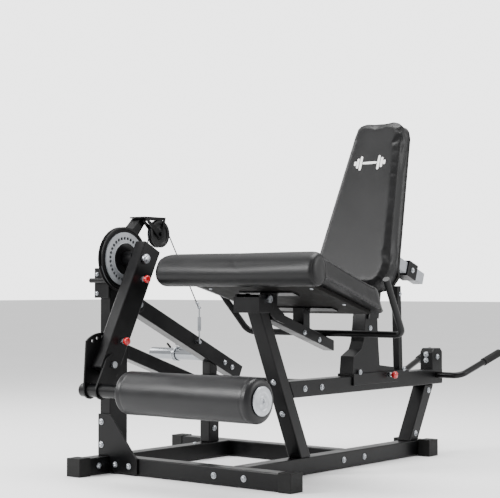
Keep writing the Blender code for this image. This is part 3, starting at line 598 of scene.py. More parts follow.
def bent_line(corners: list[tuple[float, float, float]], bends: list[float], count: int = 14) -> np.ndarray:
    """A line through corners that are rounded to true arcs.

    Args:
        corners: the line's corners, mm.
        bends: a bend radius for each inner corner.
        count: points on each arc.

    Returns:
        The points along the line.
    """
    a = np.asarray(corners, dtype=float)
    out = [a[:1]]
    for before, here, after, bend in zip(a[:-2], a[1:-1], a[2:], bends):
        p, q = before - here, after - here
        p, q = p / np.linalg.norm(p), q / np.linalg.norm(q)
        half = math.acos(float(np.clip(p @ q, -1, 1))) / 2
        middle = here + (p + q) / np.linalg.norm(p + q) * bend / math.sin(half)
        s = here + p * bend / math.tan(half) - middle
        e = here + q * bend / math.tan(half) - middle
        span = math.pi - 2 * half
        t = np.linspace(0.0, 1.0, count)[:, None]
        out.append(middle + (np.sin((1 - t) * span) * s + np.sin(t * span) * e) / math.sin(span))
    return np.concatenate(out + [a[-1:]])


def sweep(
    line: np.ndarray, radius: float, hint: np.ndarray, sides: int = 24, strands: int = 0, pitch: float = 1.0
) -> tuple[np.ndarray, np.ndarray]:
    """A round bar along a line, with both ends closed.

    At each point the bar's circle lies in the plane of n = tangent x hint and b = tangent x n.
    With strands,
    the radius is R * (0.84 + 0.16 |cos(strands/2 * (a - 2 pi s / pitch))|), which twists round the bar.

    Args:
        line: points along the middle, mm.
        radius: the bar's radius, mm.
        hint: a direction that is never along the line.
        sides: facets round the bar.
        strands: wires in a rope, or 0 for a smooth bar.
        pitch: length of one full twist, mm.

    Returns:
        Points in millimetres and faces.
    """
    along = np.gradient(line, axis=0)
    along /= np.linalg.norm(along, axis=1)[:, None]
    n = np.cross(along, hint)
    n /= np.linalg.norm(n, axis=1)[:, None]
    b = np.cross(along, n)
    angle = np.linspace(0.0, 2 * math.pi, sides, endpoint=False)
    reach = np.full((len(line), sides), radius)
    if strands:
        run = np.concatenate([[0.0], np.cumsum(np.linalg.norm(np.diff(line, axis=0), axis=1))])
        twist = angle[None] - 2 * math.pi * run[:, None] / pitch
        reach = radius * (0.84 + 0.16 * np.abs(np.cos(strands / 2 * twist)))
    rings = line[:, None] + reach[:, :, None] * (
        np.cos(angle)[None, :, None] * n[:, None] + np.sin(angle)[None, :, None] * b[:, None]
    )
    caps = np.repeat(line[[0, -1]][:, None], sides, axis=1)
    points = np.concatenate([caps[:1], rings, caps[1:]])
    return points.reshape(-1, 3), grid_faces(len(points), sides, True)


# --- workshop ---------------------------------------------------------------
class Workshop:
    """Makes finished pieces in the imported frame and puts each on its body."""

    def __init__(self, layout: Layout, paint: Paintshop) -> None:
        """Takes the layout and the paint shop that every sub-assembly shares."""
        self.layout = layout
        self.paint = paint

    def fit(
        self, name: str, shape: tuple[np.ndarray, np.ndarray], finish: Finish, body: str, slot: str,
        stands_for: tuple[str, ...] = (), sharp: float = 34.0,
    ) -> bpy.types.Object:
        """Makes a piece from a shape in millimetres, dresses it and puts it on a body.

        Args:
            name: the piece's name.
            shape: its points in millimetres and its faces.
            finish: its finish.
            body: the body it moves with.
            slot: the record's slot name, passed on unused.
            stands_for: CAD nodes that it replaces.
            sharp: edges that bend more than this many degrees stay crisp.

        Returns:
            The piece.
        """
        points, faces = shape
        piece = make_piece(name, self.layout.row(points), faces, sharp)
        return self.settle(piece, finish, body, slot, stands_for)

    def settle(
        self, piece: bpy.types.Object, finish: Finish, body: str, slot: str,
        stands_for: tuple[str, ...] = ()
    ) -> bpy.types.Object:
        """Dresses a piece that is already in place and puts it on a body.

        Args:
            piece: the piece.
            finish: its finish.
            body: the body it moves with.
            slot: the record's slot name; not used.
            stands_for: CAD nodes that it replaces.

        Returns:
            The same piece.
        """
        self.paint.dress(piece, finish)
        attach(piece, body)
        if stands_for:
            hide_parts(*stands_for)
        LOG.info("%s: %d faces on %s", piece.name, len(piece.data.polygons), body)
        return piece

    def turned(
        self, name: str, corners: list[tuple[float, float]], centre: tuple[float, float],
        finish: Finish, body: str,
        slot: str, stands_for: tuple[str, ...] = (), ease: float = 1.0, steps: int = 96,
    ) -> bpy.types.Object:
        """A piece turned about an axis along X.

        Args:
            name: the piece's name.
            corners: its (x, r) corners, mm.
            centre: (y, z) of the axis.
            finish: its finish.
            body: the body it moves with.
            slot: the record's slot name, passed on unused.
            stands_for: CAD nodes that it replaces.
            ease: how far each corner is rounded off, mm.
            steps: facets round the axis.

        Returns:
            The piece.
        """
        profile = rounded(corners, ease)
        shape = lathe(profile, np.array([0.0, *centre]), X_AXIS, steps)
        return self.fit(name, shape, finish, body, slot, stands_for)


def joined(shapes: list[tuple[np.ndarray, np.ndarray]]) -> tuple[np.ndarray, np.ndarray]:
    """Several shapes as one, with their face indices moved along.

    Args:
        shapes: points and faces of each.

    Returns:
        All points and all faces.
    """
    counts = np.cumsum([0] + [len(p) for p, _ in shapes])
    return (
        np.concatenate([p for p, _ in shapes]),
        np.concatenate([f + first for (_, f), first in zip(shapes, counts)]),
    )


# --- fasteners --------------------------------------------------------------
@dataclass(frozen=True)
class Bolt:
    """A button-head socket screw on a plain washer.

    Args:
        place: where its washer touches, mm.
        axis: the direction its head points.
        size: radius of the head, mm.
    """

    place: tuple[float, float, float]
    axis: tuple[float, float, float]
    size: float = 8.5

    def shape(self) -> tuple[np.ndarray, np.ndarray]:
        """Washer, domed head and six-sided socket as one turned surface.

        Returns:
            Points in millimetres and faces.
        """
        r = self.size
        t = np.linspace(0.0, 1.0, 6)
        dome = np.stack([1.6 + 0.62 * r * np.sin(t * math.pi / 2) ** 0.9,
                         r * (0.46 + 0.54 * np.cos(t * math.pi / 2))], 1)
        washer = np.array([[-0.4, 0.0], [-0.4, 1.35 * r], [1.2, 1.35 * r], [1.6, 1.3 * r]])
        socket = np.array([[1.6 + 0.62 * r, 0.4 * r], [1.6 + 0.2 * r, 0.4 * r], [1.6 + 0.2 * r, 0.0]])
        profile = np.concatenate([washer, dome, socket])
        hexed = np.zeros(len(profile), dtype=bool)
        hexed[-3:-1] = True
        axis = np.asarray(self.axis, dtype=float)
        return lathe(profile, np.asarray(self.place, dtype=float), axis / np.linalg.norm(axis), 24, hexed)


@dataclass
class Fasteners:
    """Every visible bolt, in one set for each body.

    Args:
        shop: the workshop.
    """

    shop: Workshop

    def build(self) -> None:
        """Makes the sets of bolts and puts each on its body."""
        front, right, left, up = (0, -1, 0), (1, 0, 0), (-1, 0, 0), (0, 0, 1)
        sloped = (0.0, -0.9122, -0.4098)
        frame = [Bolt((x, 0, 33), front) for x in (-66, 66)]
        frame += [Bolt((x, -8.3, z), front) for x, z in ((-598, 185), (-598, 102), (-528, 34), (-460, 33))]
        frame.append(Bolt((-558, -60, 33), right))
        frame += [Bolt((-623, -8.3, z), front, 6.0) for z in (724, 654)]
        frame += [Bolt((30, y, 33), right) for y in (636, 771)]
        frame += [Bolt((30, y, 311), right) for y in (395, 497)]
        frame += [Bolt((0, 372 - (z - 63.3) * 0.4492, z), sloped) for z in (340, 225)]
        frame += [Bolt((x, y, z), right) for x, y, z in ((29, 1307, 392), (30, 1236, 258), (30, 1136, 92))]
        frame += [Bolt((0, 1267, z), front) for z in (378, 402)]
        frame += [Bolt((-588, y, 63), up, 6.5) for y in (130, 500)]
        frame += [Bolt((-563, y, z), right) for y, z in ((40, 432), (60, 120), (588, 118), (588, 290))]
        frame += [Bolt((-613, y, z), left) for y, z in ((40, 432), (60, 120), (588, 118), (588, 290))]
        frame += [Bolt((-30, y, 311), left) for y in (395, 497)]
        self._fit("frame_bolts", frame, "frame")

        seat = [Bolt((25, y, 601.4 - (y - 207) * 0.3229 - 26), right, 7.0) for y in (400, 490)]
        tilt = math.radians(SEAT_TILT)
        below = (0.0, -math.sin(tilt), -math.cos(tilt))
        seat += [Bolt((x, *on_seat(a, -84.6)), below, 6.5) for x in (-225, 225) for a in (130, 330)]
        self._fit("seat_bolts", seat, "seat")
        self._fit(
            "carriage_bolts",
            [Bolt((37.6, 1040, 355), right, 7.5), Bolt((37.6, 735, 355), right, 7.5),
             Bolt((-37.6, 735, 340), left, 7.5),
             Bolt((30, 815, 520), right, 7.5), Bolt((-37.6, 1040, 340), left, 7.5),
             Bolt((14, 1050, 650), right, 6.5)],
            "carriage",
        )
        lean = math.radians(BACK_LEAN)
        behind = (0.0, math.cos(lean), -math.sin(lean))
        back = [Bolt((x, *on_back(u, 93.6)), behind, 6.0) for x in (-82, 82) for u in (60, 312)]
        back += [Bolt((x, *on_back(u, 87.3)), behind, 6.0) for x in (-60, 60) for u in (520, 600)]
        back.append(Bolt((102, *on_back(175, 272)), right, 8.0))
        self._fit("backrest_bolts", back, "backrest")
        lever = [Bolt((x, *on_lever(a, 0)), (s, 0, 0), 7.5)
                 for x, s in ((-563, 1), (-613, -1)) for a in (560, 610)]
        self._fit("lever_bolts", lever, "lever")

    def _fit(self, name: str, bolts: list[Bolt], body: str) -> None:
        """Makes one set of bolts as a single piece."""
        self.shop.fit(name, joined([bolt.shape() for bolt in bolts]), ZINC, body, "zinc_steel")


# --- sub-assemblies ---------------------------------------------------------
@dataclass
class CamAndArm:
    """The cam, its shaft and the pop-pins of the roller arm.

    Args:
        shop: the workshop.
        axis: (y, z) of the cam's axis.
        x: middle of the cam.
        radius: outside radius of the cam.
        groove: radius at the bottom of the cable groove.
    """

    shop: Workshop
    axis: tuple[float, float] = CAM_AXIS
    x: float = CAM_X
    radius: float = 118.0
    groove: float = GROOVE_R

    def build(self) -> None:
        """Makes the turned pieces of the cam and the pins."""
        a, b = self.x - 10, self.x + 10
        cam = [(a, 13.0), (a, self.radius), (a + 2.5, self.radius),
               (self.x - 3, self.groove), (self.x + 3, self.groove),
               (b - 2.5, self.radius), (b, self.radius),
               (b, self.radius - 8), (b - 3, self.radius - 10), (b - 3, 30),
               (b, 28), (b, 13.0), (a, 13.0)]
        self.shop.turned("cam_disc", cam, self.axis, POWDER_COAT, "cam_unit", "powder_coat_black",
                         ("cam",), 0.6, 144)
        cover = [(b + 7.1, 29.0), (b + 8.2, 29.0), (b + 8.2, 58.0), (b + 7.1, 58.6), (b + 7.1, 29.0)]
        self.shop.turned("index_cover", cover, self.axis, POWDER_COAT, "cam_unit",
                         "powder_coat_black", (), 0.3, 96)
        shaft = [(-621, 0), (-621, 20), (-613.3, 20), (-613.3, 12.5), (-437.7, 12.5),
                 (-437.7, 17), (-426, 17),
                 (-426, 10), (-418, 10), (-418, 0)]
        self.shop.turned("cam_axle", shaft, self.axis, ZINC, "frame", "zinc_steel", ("cam_shaft",))
        pins = (
            ("arm_pop_pin", "arm_pin", on_arm(73, 21), -438.0, -535.7),
            ("roller_pop_pin", "roller_pin", on_arm(317, 28), -438.0, -487.0),
            ("rail_pop_pin", "rail_pin", (935.0, 336.0), 37.6, 30.2),
        )
        for node, body, spot, face, tip in pins:
            self._pop_pin(node, body, spot, face, tip)

    def _pop_pin(self, node: str, body: str, spot: tuple[float, float], face: float, tip: float) -> None:
        """A sprung pin: zinc stem and barrel, and a red knob waisted where fingers go.

        The knob's radius is 7 + 8.4 sin(pi t^1.15)^0.5 (0.6 + 0.4 t) mm, with t from 0 to 1 along it.

        Args:
            node: the plain CAD pin it stands for.
            body: the body it moves with.
            spot: (y, z) of its axis.
            face: x of the face its barrel stands on.
            tip: x of its inner end.
        """
        stem = [(tip, 0), (tip, 4), (tip + 1.5, 5), (face + 1, 5), (face + 1, 9), (face + 9, 9),
                (face + 9, 6),
                (face + 13, 6), (face + 13, 0)]
        self.shop.turned(f"{node}_barrel", stem, spot, ZINC, body, "zinc_steel", (), 0.6, 48)
        t = np.linspace(0.0, 1.0, 24)
        radius = 7.0 + 8.4 * np.sin(math.pi * t**1.15) ** 0.5 * (0.6 + 0.4 * t)
        knob = np.stack([face + 13 + 21.6 * t, np.where(t < 1, radius, 0.0)], 1)
        knob[-2, 1] = 7.4
        profile = np.concatenate([[[face + 13, 0.0]], knob])
        shape = lathe(profile, np.array([0.0, *spot]), X_AXIS, 48)
        self.shop.fit(f"{node}_knob", shape, RED_GLOSS, body, "red_plastic", (node,), 50.0)


@dataclass
class Roller:
    """The foam roller on its tube, with its end cap.

    Args:
        shop: the workshop.
        axis: (y, z) of the roller's axis.
        left: -X end of the foam.
        right: +X end of the foam.
        radius: outside radius of the foam.
    """

    shop: Workshop
    axis: tuple[float, float] = (-172.0, 314.0)
    left: float = -308.0
    right: float = 278.0
    radius: float = 75.0

    def build(self) -> None:
        """Makes the foam, the tube and the cap."""
        self._foam()
        end = self.right + 2
        tube = [(-528, 0), (-528, 21), (-525, 24), (end, 24), (end, 0)]
        self.shop.turned("roller_bar", tube, self.axis, POWDER_COAT, "roller_bracket", "powder_coat_black",
                         ("roller_tube",))
        cap = [(end + 0.3, 0), (end + 0.3, 48), (end + 4, 48), (end + 6, 45), (end + 6.6, 30),
               (end + 5.2, 28),
               (end + 5.2, 17), (end + 6.6, 15), (end + 6.4, 8), (end + 2, 7), (end + 2, 0)]
        self.shop.turned("roller_cap", cap, self.axis, TURNED_ALUMINIUM, "roller_bracket", "chrome_steel",
                         ("roller_end_cap",), 0.8)

    def _foam(self) -> None:
        """The foam sleeve: a barrel with eased ends, a sewn groove near each end and faint waves.

        r(x, a) = R * ease(x) - groove(x) + 0.35 sin(x / 37 + 2 a) + 0.25 sin(3 a - x / 61), in mm,
        where ease
        rolls the last 16 mm down to the end face and groove is a 1.6 mm deep dip 13 mm from each end.
        """
        x = np.concatenate([
            self.left + 16 * (1 - np.cos(np.linspace(0, math.pi / 2, 12))),
            np.linspace(self.left + 17, self.right - 17, 150),
            self.right - 16 * (1 - np.sin(np.linspace(0, math.pi / 2, 12))),
        ])
        edge = np.minimum(x - self.left, self.right - x)
        roll = np.where(edge < 16, 22 * (1 - np.sqrt(np.clip(1 - (1 - edge / 16) ** 2, 0, 1))), 0.0)
        groove = 1.6 * np.exp(-(((edge - 30) / 2.2) ** 2))
        sides, bore = 128, 25.0
        angle = np.linspace(0, 2 * math.pi, sides, endpoint=False)
        wave = 0.35 * np.sin(x[:, None] / 37 + 2 * angle) + 0.25 * np.sin(3 * angle - x[:, None] / 61)
        r = self.radius - 0.6 - (roll + groove)[:, None] + wave * (edge > 16)[:, None]
        hole = np.full((1, sides), bore)
        x_all = np.concatenate([[self.left], x, [self.right], [self.left]])[:, None]
        r_all = np.concatenate([hole, r, hole, hole])
        y, z = self.axis[0] + r_all * np.cos(angle), self.axis[1] + r_all * np.sin(angle)
        points = np.stack([np.repeat(x_all, sides, 1), y, z], axis=-1)
        shape = points.reshape(-1, 3), grid_faces(len(x_all), sides, True)
        foam = self.shop.fit("roller_sleeve", shape, ROLLER_SKIN, "foam", "vinyl_black",
                             ("roller_foam",), 60.0)


@dataclass
class LeverAndCable:
    """The weight horn with its spring clip, the pulley and the wire rope.

    Args:
        shop: the workshop.
        cable_x: middle plane of the cable.
        rope: radius of the rope.
    """

    shop: Workshop
    cable_x: float = CAM_X
    rope: float = 2.4

    def build(self) -> None:
        """Makes the horn, the clip, the pulley, the rope and its clamps."""
        at = on_lever(478, -3)
        x0 = -613.3
        horn = [(x0, 0), (x0, 24.5), (x0 - 272, 24.5), (x0 - 275, 21.5), (x0 - 275, 0)]
        self.shop.turned("weight_horn_bar", horn, at, CHROME, "lever", "chrome_steel", ("weight_horn",))
        self._clip(at, x0 - 152)
        near, far = self.cable_x + 10, self.cable_x - 10
        wheel = [(far, 8.5), (far, 20), (far + 5, 22), (far + 5, 38), (far, 40), (far, 52), (far + 3, 52),
                 (self.cable_x - 3, PULLEY_GROOVE_R),
                 (self.cable_x + 3, PULLEY_GROOVE_R), (near - 3, 52),
                 (near, 52), (near, 40), (near - 5, 38),
                 (near - 5, 22), (near, 20), (near, 8.5), (far, 8.5)]
        self.shop.turned("cable_pulley", wheel, PULLEY_AXIS, NYLON, "pulley", "nylon_black",
                         ("pulley",), 0.8)
        line = self._route()
        shape = sweep(line, self.rope, X_AXIS, 18, 6, 26.0)
        self.shop.fit("wire_rope", shape, WIRE, "frame", "steel_rope", ("cable",), 70.0)
        self._clamps(line)

    def _clip(self, at: tuple[float, float], x: float) -> None:
        """A spring clip: three turns of round wire, whose ends stand up as two handles.

        The wire is at (x + 18 u, r cos a, r sin a), with u from 0 to 1 while a makes the turns.

        Args:
            at: (y, z) of the horn's axis.
            x: -X end of the clip.
        """
        r, wire, turns = 24.5 + 0.6 + 2.3, 2.3, 3.0
        first, last = math.radians(139), math.radians(111 + 360 * turns)
        a = np.linspace(first, last, 150)
        coil = np.stack([x + 4 + 18 * (a - first) / (last - first),
                         at[0] + r * np.cos(a), at[1] + r * np.sin(a)], 1)
        up = np.linspace(38.0, 2.0, 12)[:, None]
        out0 = np.array([0.0, math.cos(first), math.sin(first)])
        out1 = np.array([0.0, math.cos(last), math.sin(last)])
        line = np.concatenate([coil[0] + out0 * up, coil, coil[-1] + out1 * up[::-1]])
        wire_shape = sweep(line, wire, X_AXIS, 16)
        self.shop.fit("spring_clip", wire_shape, ZINC, "collar", "zinc_steel", ("spring_collar",), 60.0)
        grips = [sweep(coil[k] + out * np.linspace(14, 38.6, 8)[:, None], 4.2, X_AXIS, 20)
                 for k, out in ((0, out0), (-1, out1))]
        self.shop.fit("spring_clip_grips", joined(grips), RUBBER, "collar", "rubber_black")

    def _route(self) -> np.ndarray:
        """The rope's middle line: round the cam, over the pulley and down to the turnbuckle.

        Returns:
            Points along the line, mm.
        """
        axis, wheel = np.array(CAM_AXIS), np.array(PULLEY_AXIS)
        cam_r, pull_r = GROOVE_R + self.rope + 0.4, PULLEY_GROOVE_R + self.rope + 0.4
        gap = wheel - axis
        along = math.atan2(gap[1], gap[0])
        tilt = math.acos((cam_r + pull_r) / float(np.linalg.norm(gap)))
        top = np.array([SHACKLE[0], SHACKLE[1] + 128.0])
        hang = top - wheel
        off = math.atan2(hang[1], hang[0]) + math.acos(pull_r / float(np.linalg.norm(hang)))
        leave, meet = along - tilt, along + math.pi - tilt
        a = np.linspace(leave - math.radians(150), leave, 60)[:, None]
        span = (meet - off) % (2 * math.pi)
        b = np.linspace(meet, meet - span, 50)[:, None]
        round_cam = axis + cam_r * np.concatenate([np.cos(a), np.sin(a)], 1)
        round_wheel = wheel + pull_r * np.concatenate([np.cos(b), np.sin(b)], 1)
        cross = np.linspace(round_cam[-1], round_wheel[0], 40)[1:-1]
        drop = np.linspace(round_wheel[-1], top, 120)[1:]
        flat = np.concatenate([round_cam, cross, round_wheel, drop])
        return np.concatenate([np.full((len(flat), 1), self.cable_x), flat], 1)

    def _clamps(self, line: np.ndarray) -> None:
        """Two rope clamps above the turnbuckle: a saddle round the rope with a pair of nuts.

        Args:
            line: the rope's middle line, mm.
        """
        aim = (line[-1] - line[-20]) / np.linalg.norm(line[-1] - line[-20])
        profile = rounded([(0, 2.6), (0, 5.6), (9, 5.6), (9, 2.6), (0, 2.6)], 0.8)
        nut = rounded([(0, 0), (0, 3.4), (4, 3.4), (4, 1.8), (7, 1.8), (7, 0)], 0.5)
        shapes = []
        for back in (14.0, 34.0):
            start = line[-1] - aim * back
            shapes.append(lathe(profile, start, aim, 24))
            for side in (-1.0, 1.0):
                spot = start + aim * (4.5 + side * 2.6) + np.array([5.0, 0.0, 0.0])
                shapes.append(lathe(nut, spot, X_AXIS, 12))
        self.shop.fit("rope_clamps", joined(shapes), ZINC, "frame", "zinc_steel")


@dataclass
class Handles:
    """The seat's grab bar and the rear handlebar with its ribbed grips."""

    shop: Workshop

    def build(self) -> None:
        """Makes both bars and the grips."""
        slope = (480.0 - 601.4) / (583.0 - 207.0)
        y = 541.0
        z = 601.4 + slope * (y - 207.0) + 12.5 / math.cos(math.atan(slope)) + 0.6
        line = bent_line([(392, 374, 704), (352, y, z), (-352, y, z), (-392, 374, 704)], [34.0, 34.0])
        hint = np.cross(line[5] - line[0], [1.0, 0.0, 0.0])
        self.shop.fit("seat_grab_bar", sweep(line, 12.0, hint, 32), POWDER_COAT, "seat",
                      "powder_coat_black",
                      ("seat_handle",))
        low, tip = np.array([142.0, 1300.0, 318.0]), np.array([168.0, 1572.0, 402.0])
        mirror = np.array([-1.0, 1.0, 1.0])
        line = bent_line([tuple(tip), tuple(low), tuple(low * mirror), tuple(tip * mirror)], [40.0, 40.0])
        hint = np.cross(tip - low, [1.0, 0.0, 0.0])
        self.shop.fit("rear_bar", sweep(line, 12.5, hint, 32), POWDER_COAT, "frame", "powder_coat_black",
                      ("rear_handlebar",))
        for name, flip in (("right", np.ones(3)), ("left", mirror)):
            self._grip(name, low * flip, tip * flip)

    def _grip(self, side: str, low: np.ndarray, tip: np.ndarray) -> None:
        """A rubber grip with a collar at its mouth, fine ribs and a round closed end.

        Between the collar and the end the radius is 15.2 + 0.7 cos(2 pi h / 6) mm.

        Args:
            side: which grip, for its name.
            low: the bar's lower bend, mm.
            tip: the bar's end, mm.
        """
        axis = (tip - low) / np.linalg.norm(tip - low)
        h = np.linspace(-108, -2, 160)
        ribs = np.stack([h, 15.2 + 0.7 * np.cos(2 * math.pi * h / 6)], 1)
        ahead = np.array([[-118, 12.8], [-118, 15.0], [-117, 16.0], [-112, 16.0], [-110, 15.4]])
        t = np.linspace(0, math.pi / 2, 8)
        end = np.stack([6 * np.sin(t), 15.6 * np.cos(t) ** 0.5], 1)
        inside = np.array([[0.4, 0.0], [0.4, 12.8], [-118, 12.8]])
        closed = np.concatenate([ahead, ribs, end, inside])
        self.shop.fit(f"grip_{side}_rubber", lathe(closed, tip, axis, 48), RUBBER, "frame", "rubber_black",
                      (f"grip_{side}",), 50.0)


# --- cushions ---------------------------------------------------------------
@dataclass
class Cushion:
    """An upholstered pad: a foam core that the cover is pulled tight over, with sewn edges.

    Args:
        shop: the workshop.
        node: the plain CAD solid it stands for.
        body: the body it moves with.
        underside: unit direction of the flat face that rests on the board.
        voxel: size of the cover's mesh, m.
        shrink: how far the start shape lies inside the solid, m.
        swell: how far the cover may move, m.
    """

    shop: Workshop
    node: str
    body: str
    underside: tuple[float, float, float]
    voxel: float = 0.006
    shrink: float = 0.004
    swell: float = 0.010

    def build(self) -> bpy.types.Object:
        """Remeshes the solid, swells it by pressure and gives it one subdivision.

        Returns:
            The finished cushion.
        """
        source = bpy.data.objects[self.node]
        pad = bpy.data.objects.new(f"{self.node}_cover", source.data.copy())
        bpy.context.scene.collection.objects.link(pad)
        pad.data.materials.clear()
        shell = bmesh.new()
        shell.from_mesh(pad.data)
        bmesh.ops.remove_doubles(shell, verts=shell.verts[:], dist=1e-5)
        shell.to_mesh(pad.data)
        shell.free()
        remesh = pad.modifiers.new("even_mesh", "REMESH")
        remesh.mode, remesh.voxel_size = "VOXEL", self.voxel
        self._freeze(pad)
        start = self._coordinates(pad.data)
        normals = np.empty(len(pad.data.vertices) * 3)
        pad.data.vertices.foreach_get("normal", normals)
        normals = normals.reshape(-1, 3)
        down = np.clip(normals @ np.asarray(self.underside), 0.0, 1.0)[:, None]
        inner = start - normals * self.shrink * (1 - down)
        self._place(pad.data, inner)
        inner = self._inflate(pad, inner, down)
        self._place(pad.data, inner)
        pad.data.polygons.foreach_set("use_smooth", np.ones(len(pad.data.polygons), dtype=bool))
        relax = pad.modifiers.new("relax", "SMOOTH")
        relax.factor, relax.iterations = 0.5, 4
        self._freeze(pad)
        finer = pad.modifiers.new("finer", "SUBSURF")
        finer.levels = finer.render_levels = 1
        self.shop.settle(pad, VINYL, self.body, "vinyl_black", (self.node,))
        return pad

    def _inflate(self, pad: bpy.types.Object, start: np.ndarray, down: np.ndarray) -> np.ndarray:
        """Runs the cloth under pressure and caps how far each point may move.

        Args:
            pad: the cushion.
            start: its points before.
            down: how far each point faces the board, from 0 to 1.

        Returns:
            Its points after.
        """
        cloth = pad.modifiers.new("cover", "CLOTH")
        cloth.settings.use_pressure = True
        cloth.settings.uniform_pressure_force = 4.0
        cloth.settings.quality = 4
        cloth.settings.effector_weights.gravity = 0.0
        cloth.point_cache.frame_start, cloth.point_cache.frame_end = 1, 20
        scene = bpy.context.scene
        for frame in range(1, 21):
            scene.frame_set(frame)
        after = self._coordinates(pad.evaluated_get(bpy.context.evaluated_depsgraph_get()).data)
        pad.modifiers.remove(cloth)
        scene.frame_set(1)
        move = after - start
        reach = np.linalg.norm(move, axis=1)[:, None]
        move *= np.minimum(1.0, self.swell / np.maximum(reach, 1e-9)) * (1 - down)
        return start + move

    @staticmethod
    def _freeze(pad: bpy.types.Object) -> None:
        """Bakes the modifiers into the mesh.

        Args:
            pad: the cushion.
        """
        held = pad.evaluated_get(bpy.context.evaluated_depsgraph_get())
        mesh = bpy.data.meshes.new_from_object(held)
        pad.modifiers.clear()
        pad.data = mesh

    @staticmethod
    def _coordinates(mesh: bpy.types.Mesh) -> np.ndarray:
        """The mesh's points as an array.

        Args:
            mesh: the mesh.

        Returns:
            One row of three metres for each point.
        """
        out = np.empty(len(mesh.vertices) * 3)
        mesh.vertices.foreach_get("co", out)
        return out.reshape(-1, 3)

    @staticmethod
    def _place(mesh: bpy.types.Mesh, points: np.ndarray) -> None:
        """Moves the mesh's points."""
        mesh.vertices.foreach_set("co", points.ravel())
        mesh.update()


class Stitcher:
    """Lays seams and prints on a finished cushion."""

    def __init__(self, shop: Workshop, pad: bpy.types.Object, body: str) -> None:
        """Takes the cushion as it is shown, subdivision included."""
        self.shop, self.body = shop, body
        held = pad.evaluated_get(bpy.context.evaluated_depsgraph_get())
        self.tree = BVHTree.FromObject(held, bpy.context.evaluated_depsgraph_get())

    def lay(self, points: np.ndarray, lift: float) -> np.ndarray:
        """The nearest places on the cover, raised along its normals.

        Args:
            points: places near the cover, mm.
            lift: height above the cover, mm.

        Returns:
            Places on the cover, mm.
        """
        out = []
        shift = np.asarray(self.shop.layout.shift)
        for p in self.shop.layout.row(points):
            spot, normal, _, _ = self.tree.find_nearest(Vector(p))
            out.append(((np.asarray(spot) - shift) * 1000) + np.asarray(normal) * lift)
        return np.asarray(out)

    def seam(self, name: str, corners: list[tuple[float, float, float]], radius: float = 1.5) -> None:
        """A sewn edge along the cover: a thin bead half sunk into it, with a stitch line's ripples.

        At a run s along the edge the bead's radius is r (1 + 0.12 cos(2 pi s / 8)), so a stitch is 8 mm.

        Args:
            name: the piece's name.
            corners: places along the edge, mm.
            radius: the bead's radius r, mm.
        """
        a = np.asarray(corners, dtype=float)
        run = np.concatenate([[0.0], np.cumsum(np.linalg.norm(np.diff(a, axis=0), axis=1))])
        s = np.arange(0.0, run[-1], 4.0)
        line = self.lay(np.stack([np.interp(s, run, a[:, i]) for i in range(3)], 1), 0.2)
        smooth = line.copy()
        smooth[2:-2] = (line[:-4] + line[1:-3] + line[2:-2] + line[3:-1] + line[4:]) / 5
        centre = smooth.mean(axis=0)
        step = np.gradient(smooth, axis=0)
        step /= np.linalg.norm(step, axis=1)[:, None]
        out = smooth - centre
        n = out - (out * step).sum(1)[:, None] * step
        n /= np.linalg.norm(n, axis=1)[:, None]
        b = np.cross(step, n)
        angle = np.linspace(0, 2 * math.pi, 10, endpoint=False)
        swell = radius * (1 + 0.12 * np.cos(2 * math.pi * s / 8))[:, None, None]
        rings = smooth[:, None] + swell * (
            np.cos(angle)[None, :, None] * n[:, None]
            + np.sin(angle)[None, :, None] * b[:, None])
        ends = np.repeat(smooth[[0, -1]][:, None], 10, axis=1)
        points = np.concatenate([ends[:1], rings, ends[1:]])
        shape = points.reshape(-1, 3), grid_faces(len(points), 10, True)
        self.shop.fit(name, shape, SEAM_VINYL, self.body, "vinyl_black", (), 80.0)

    def print_mark(self, name: str, patches: list[tuple[float, float, float, float]]) -> None:
        """A plain weight-bar sign printed in white: each patch is a rounded rectangle.

        A grid point (s, t) in -1..1 goes to (s sqrt(1 - 0.22 t^2), t sqrt(1 - 0.22 s^2))
        times the half sizes.

        Args:
            name: the piece's name.
            patches: middle x, middle height up the pad, half width and half height of each, mm.
        """
        shapes = []
        for x, up, half_w, half_h in patches:
            s, t = np.meshgrid(np.linspace(-1, 1, 12), np.linspace(-1, 1, 12), indexing="xy")
            across = x + half_w * s * np.sqrt(1 - 0.22 * t**2)
            height = up + half_h * t * np.sqrt(1 - 0.22 * s**2)
            near = np.stack([across, *on_back(height, -6.0)], axis=-1).reshape(-1, 3)
            top, low = self.lay(near, 0.45), self.lay(near, -0.3)
            ring = np.concatenate([np.arange(12), np.arange(23, 144, 12),
                                   np.arange(142, 131, -1), np.arange(120, 0, -12)])
            after = np.roll(ring, -1)
            wall = np.stack([ring, after, after + 144, ring + 144], 1)
            faces = np.concatenate([grid_faces(12, 12, False), grid_faces(12, 12, False, 144)[:, ::-1], wall])
            shapes.append((np.concatenate([top, low]), faces))
        self.shop.fit(name, joined(shapes), WHITE_INK, self.body, "vinyl_black")


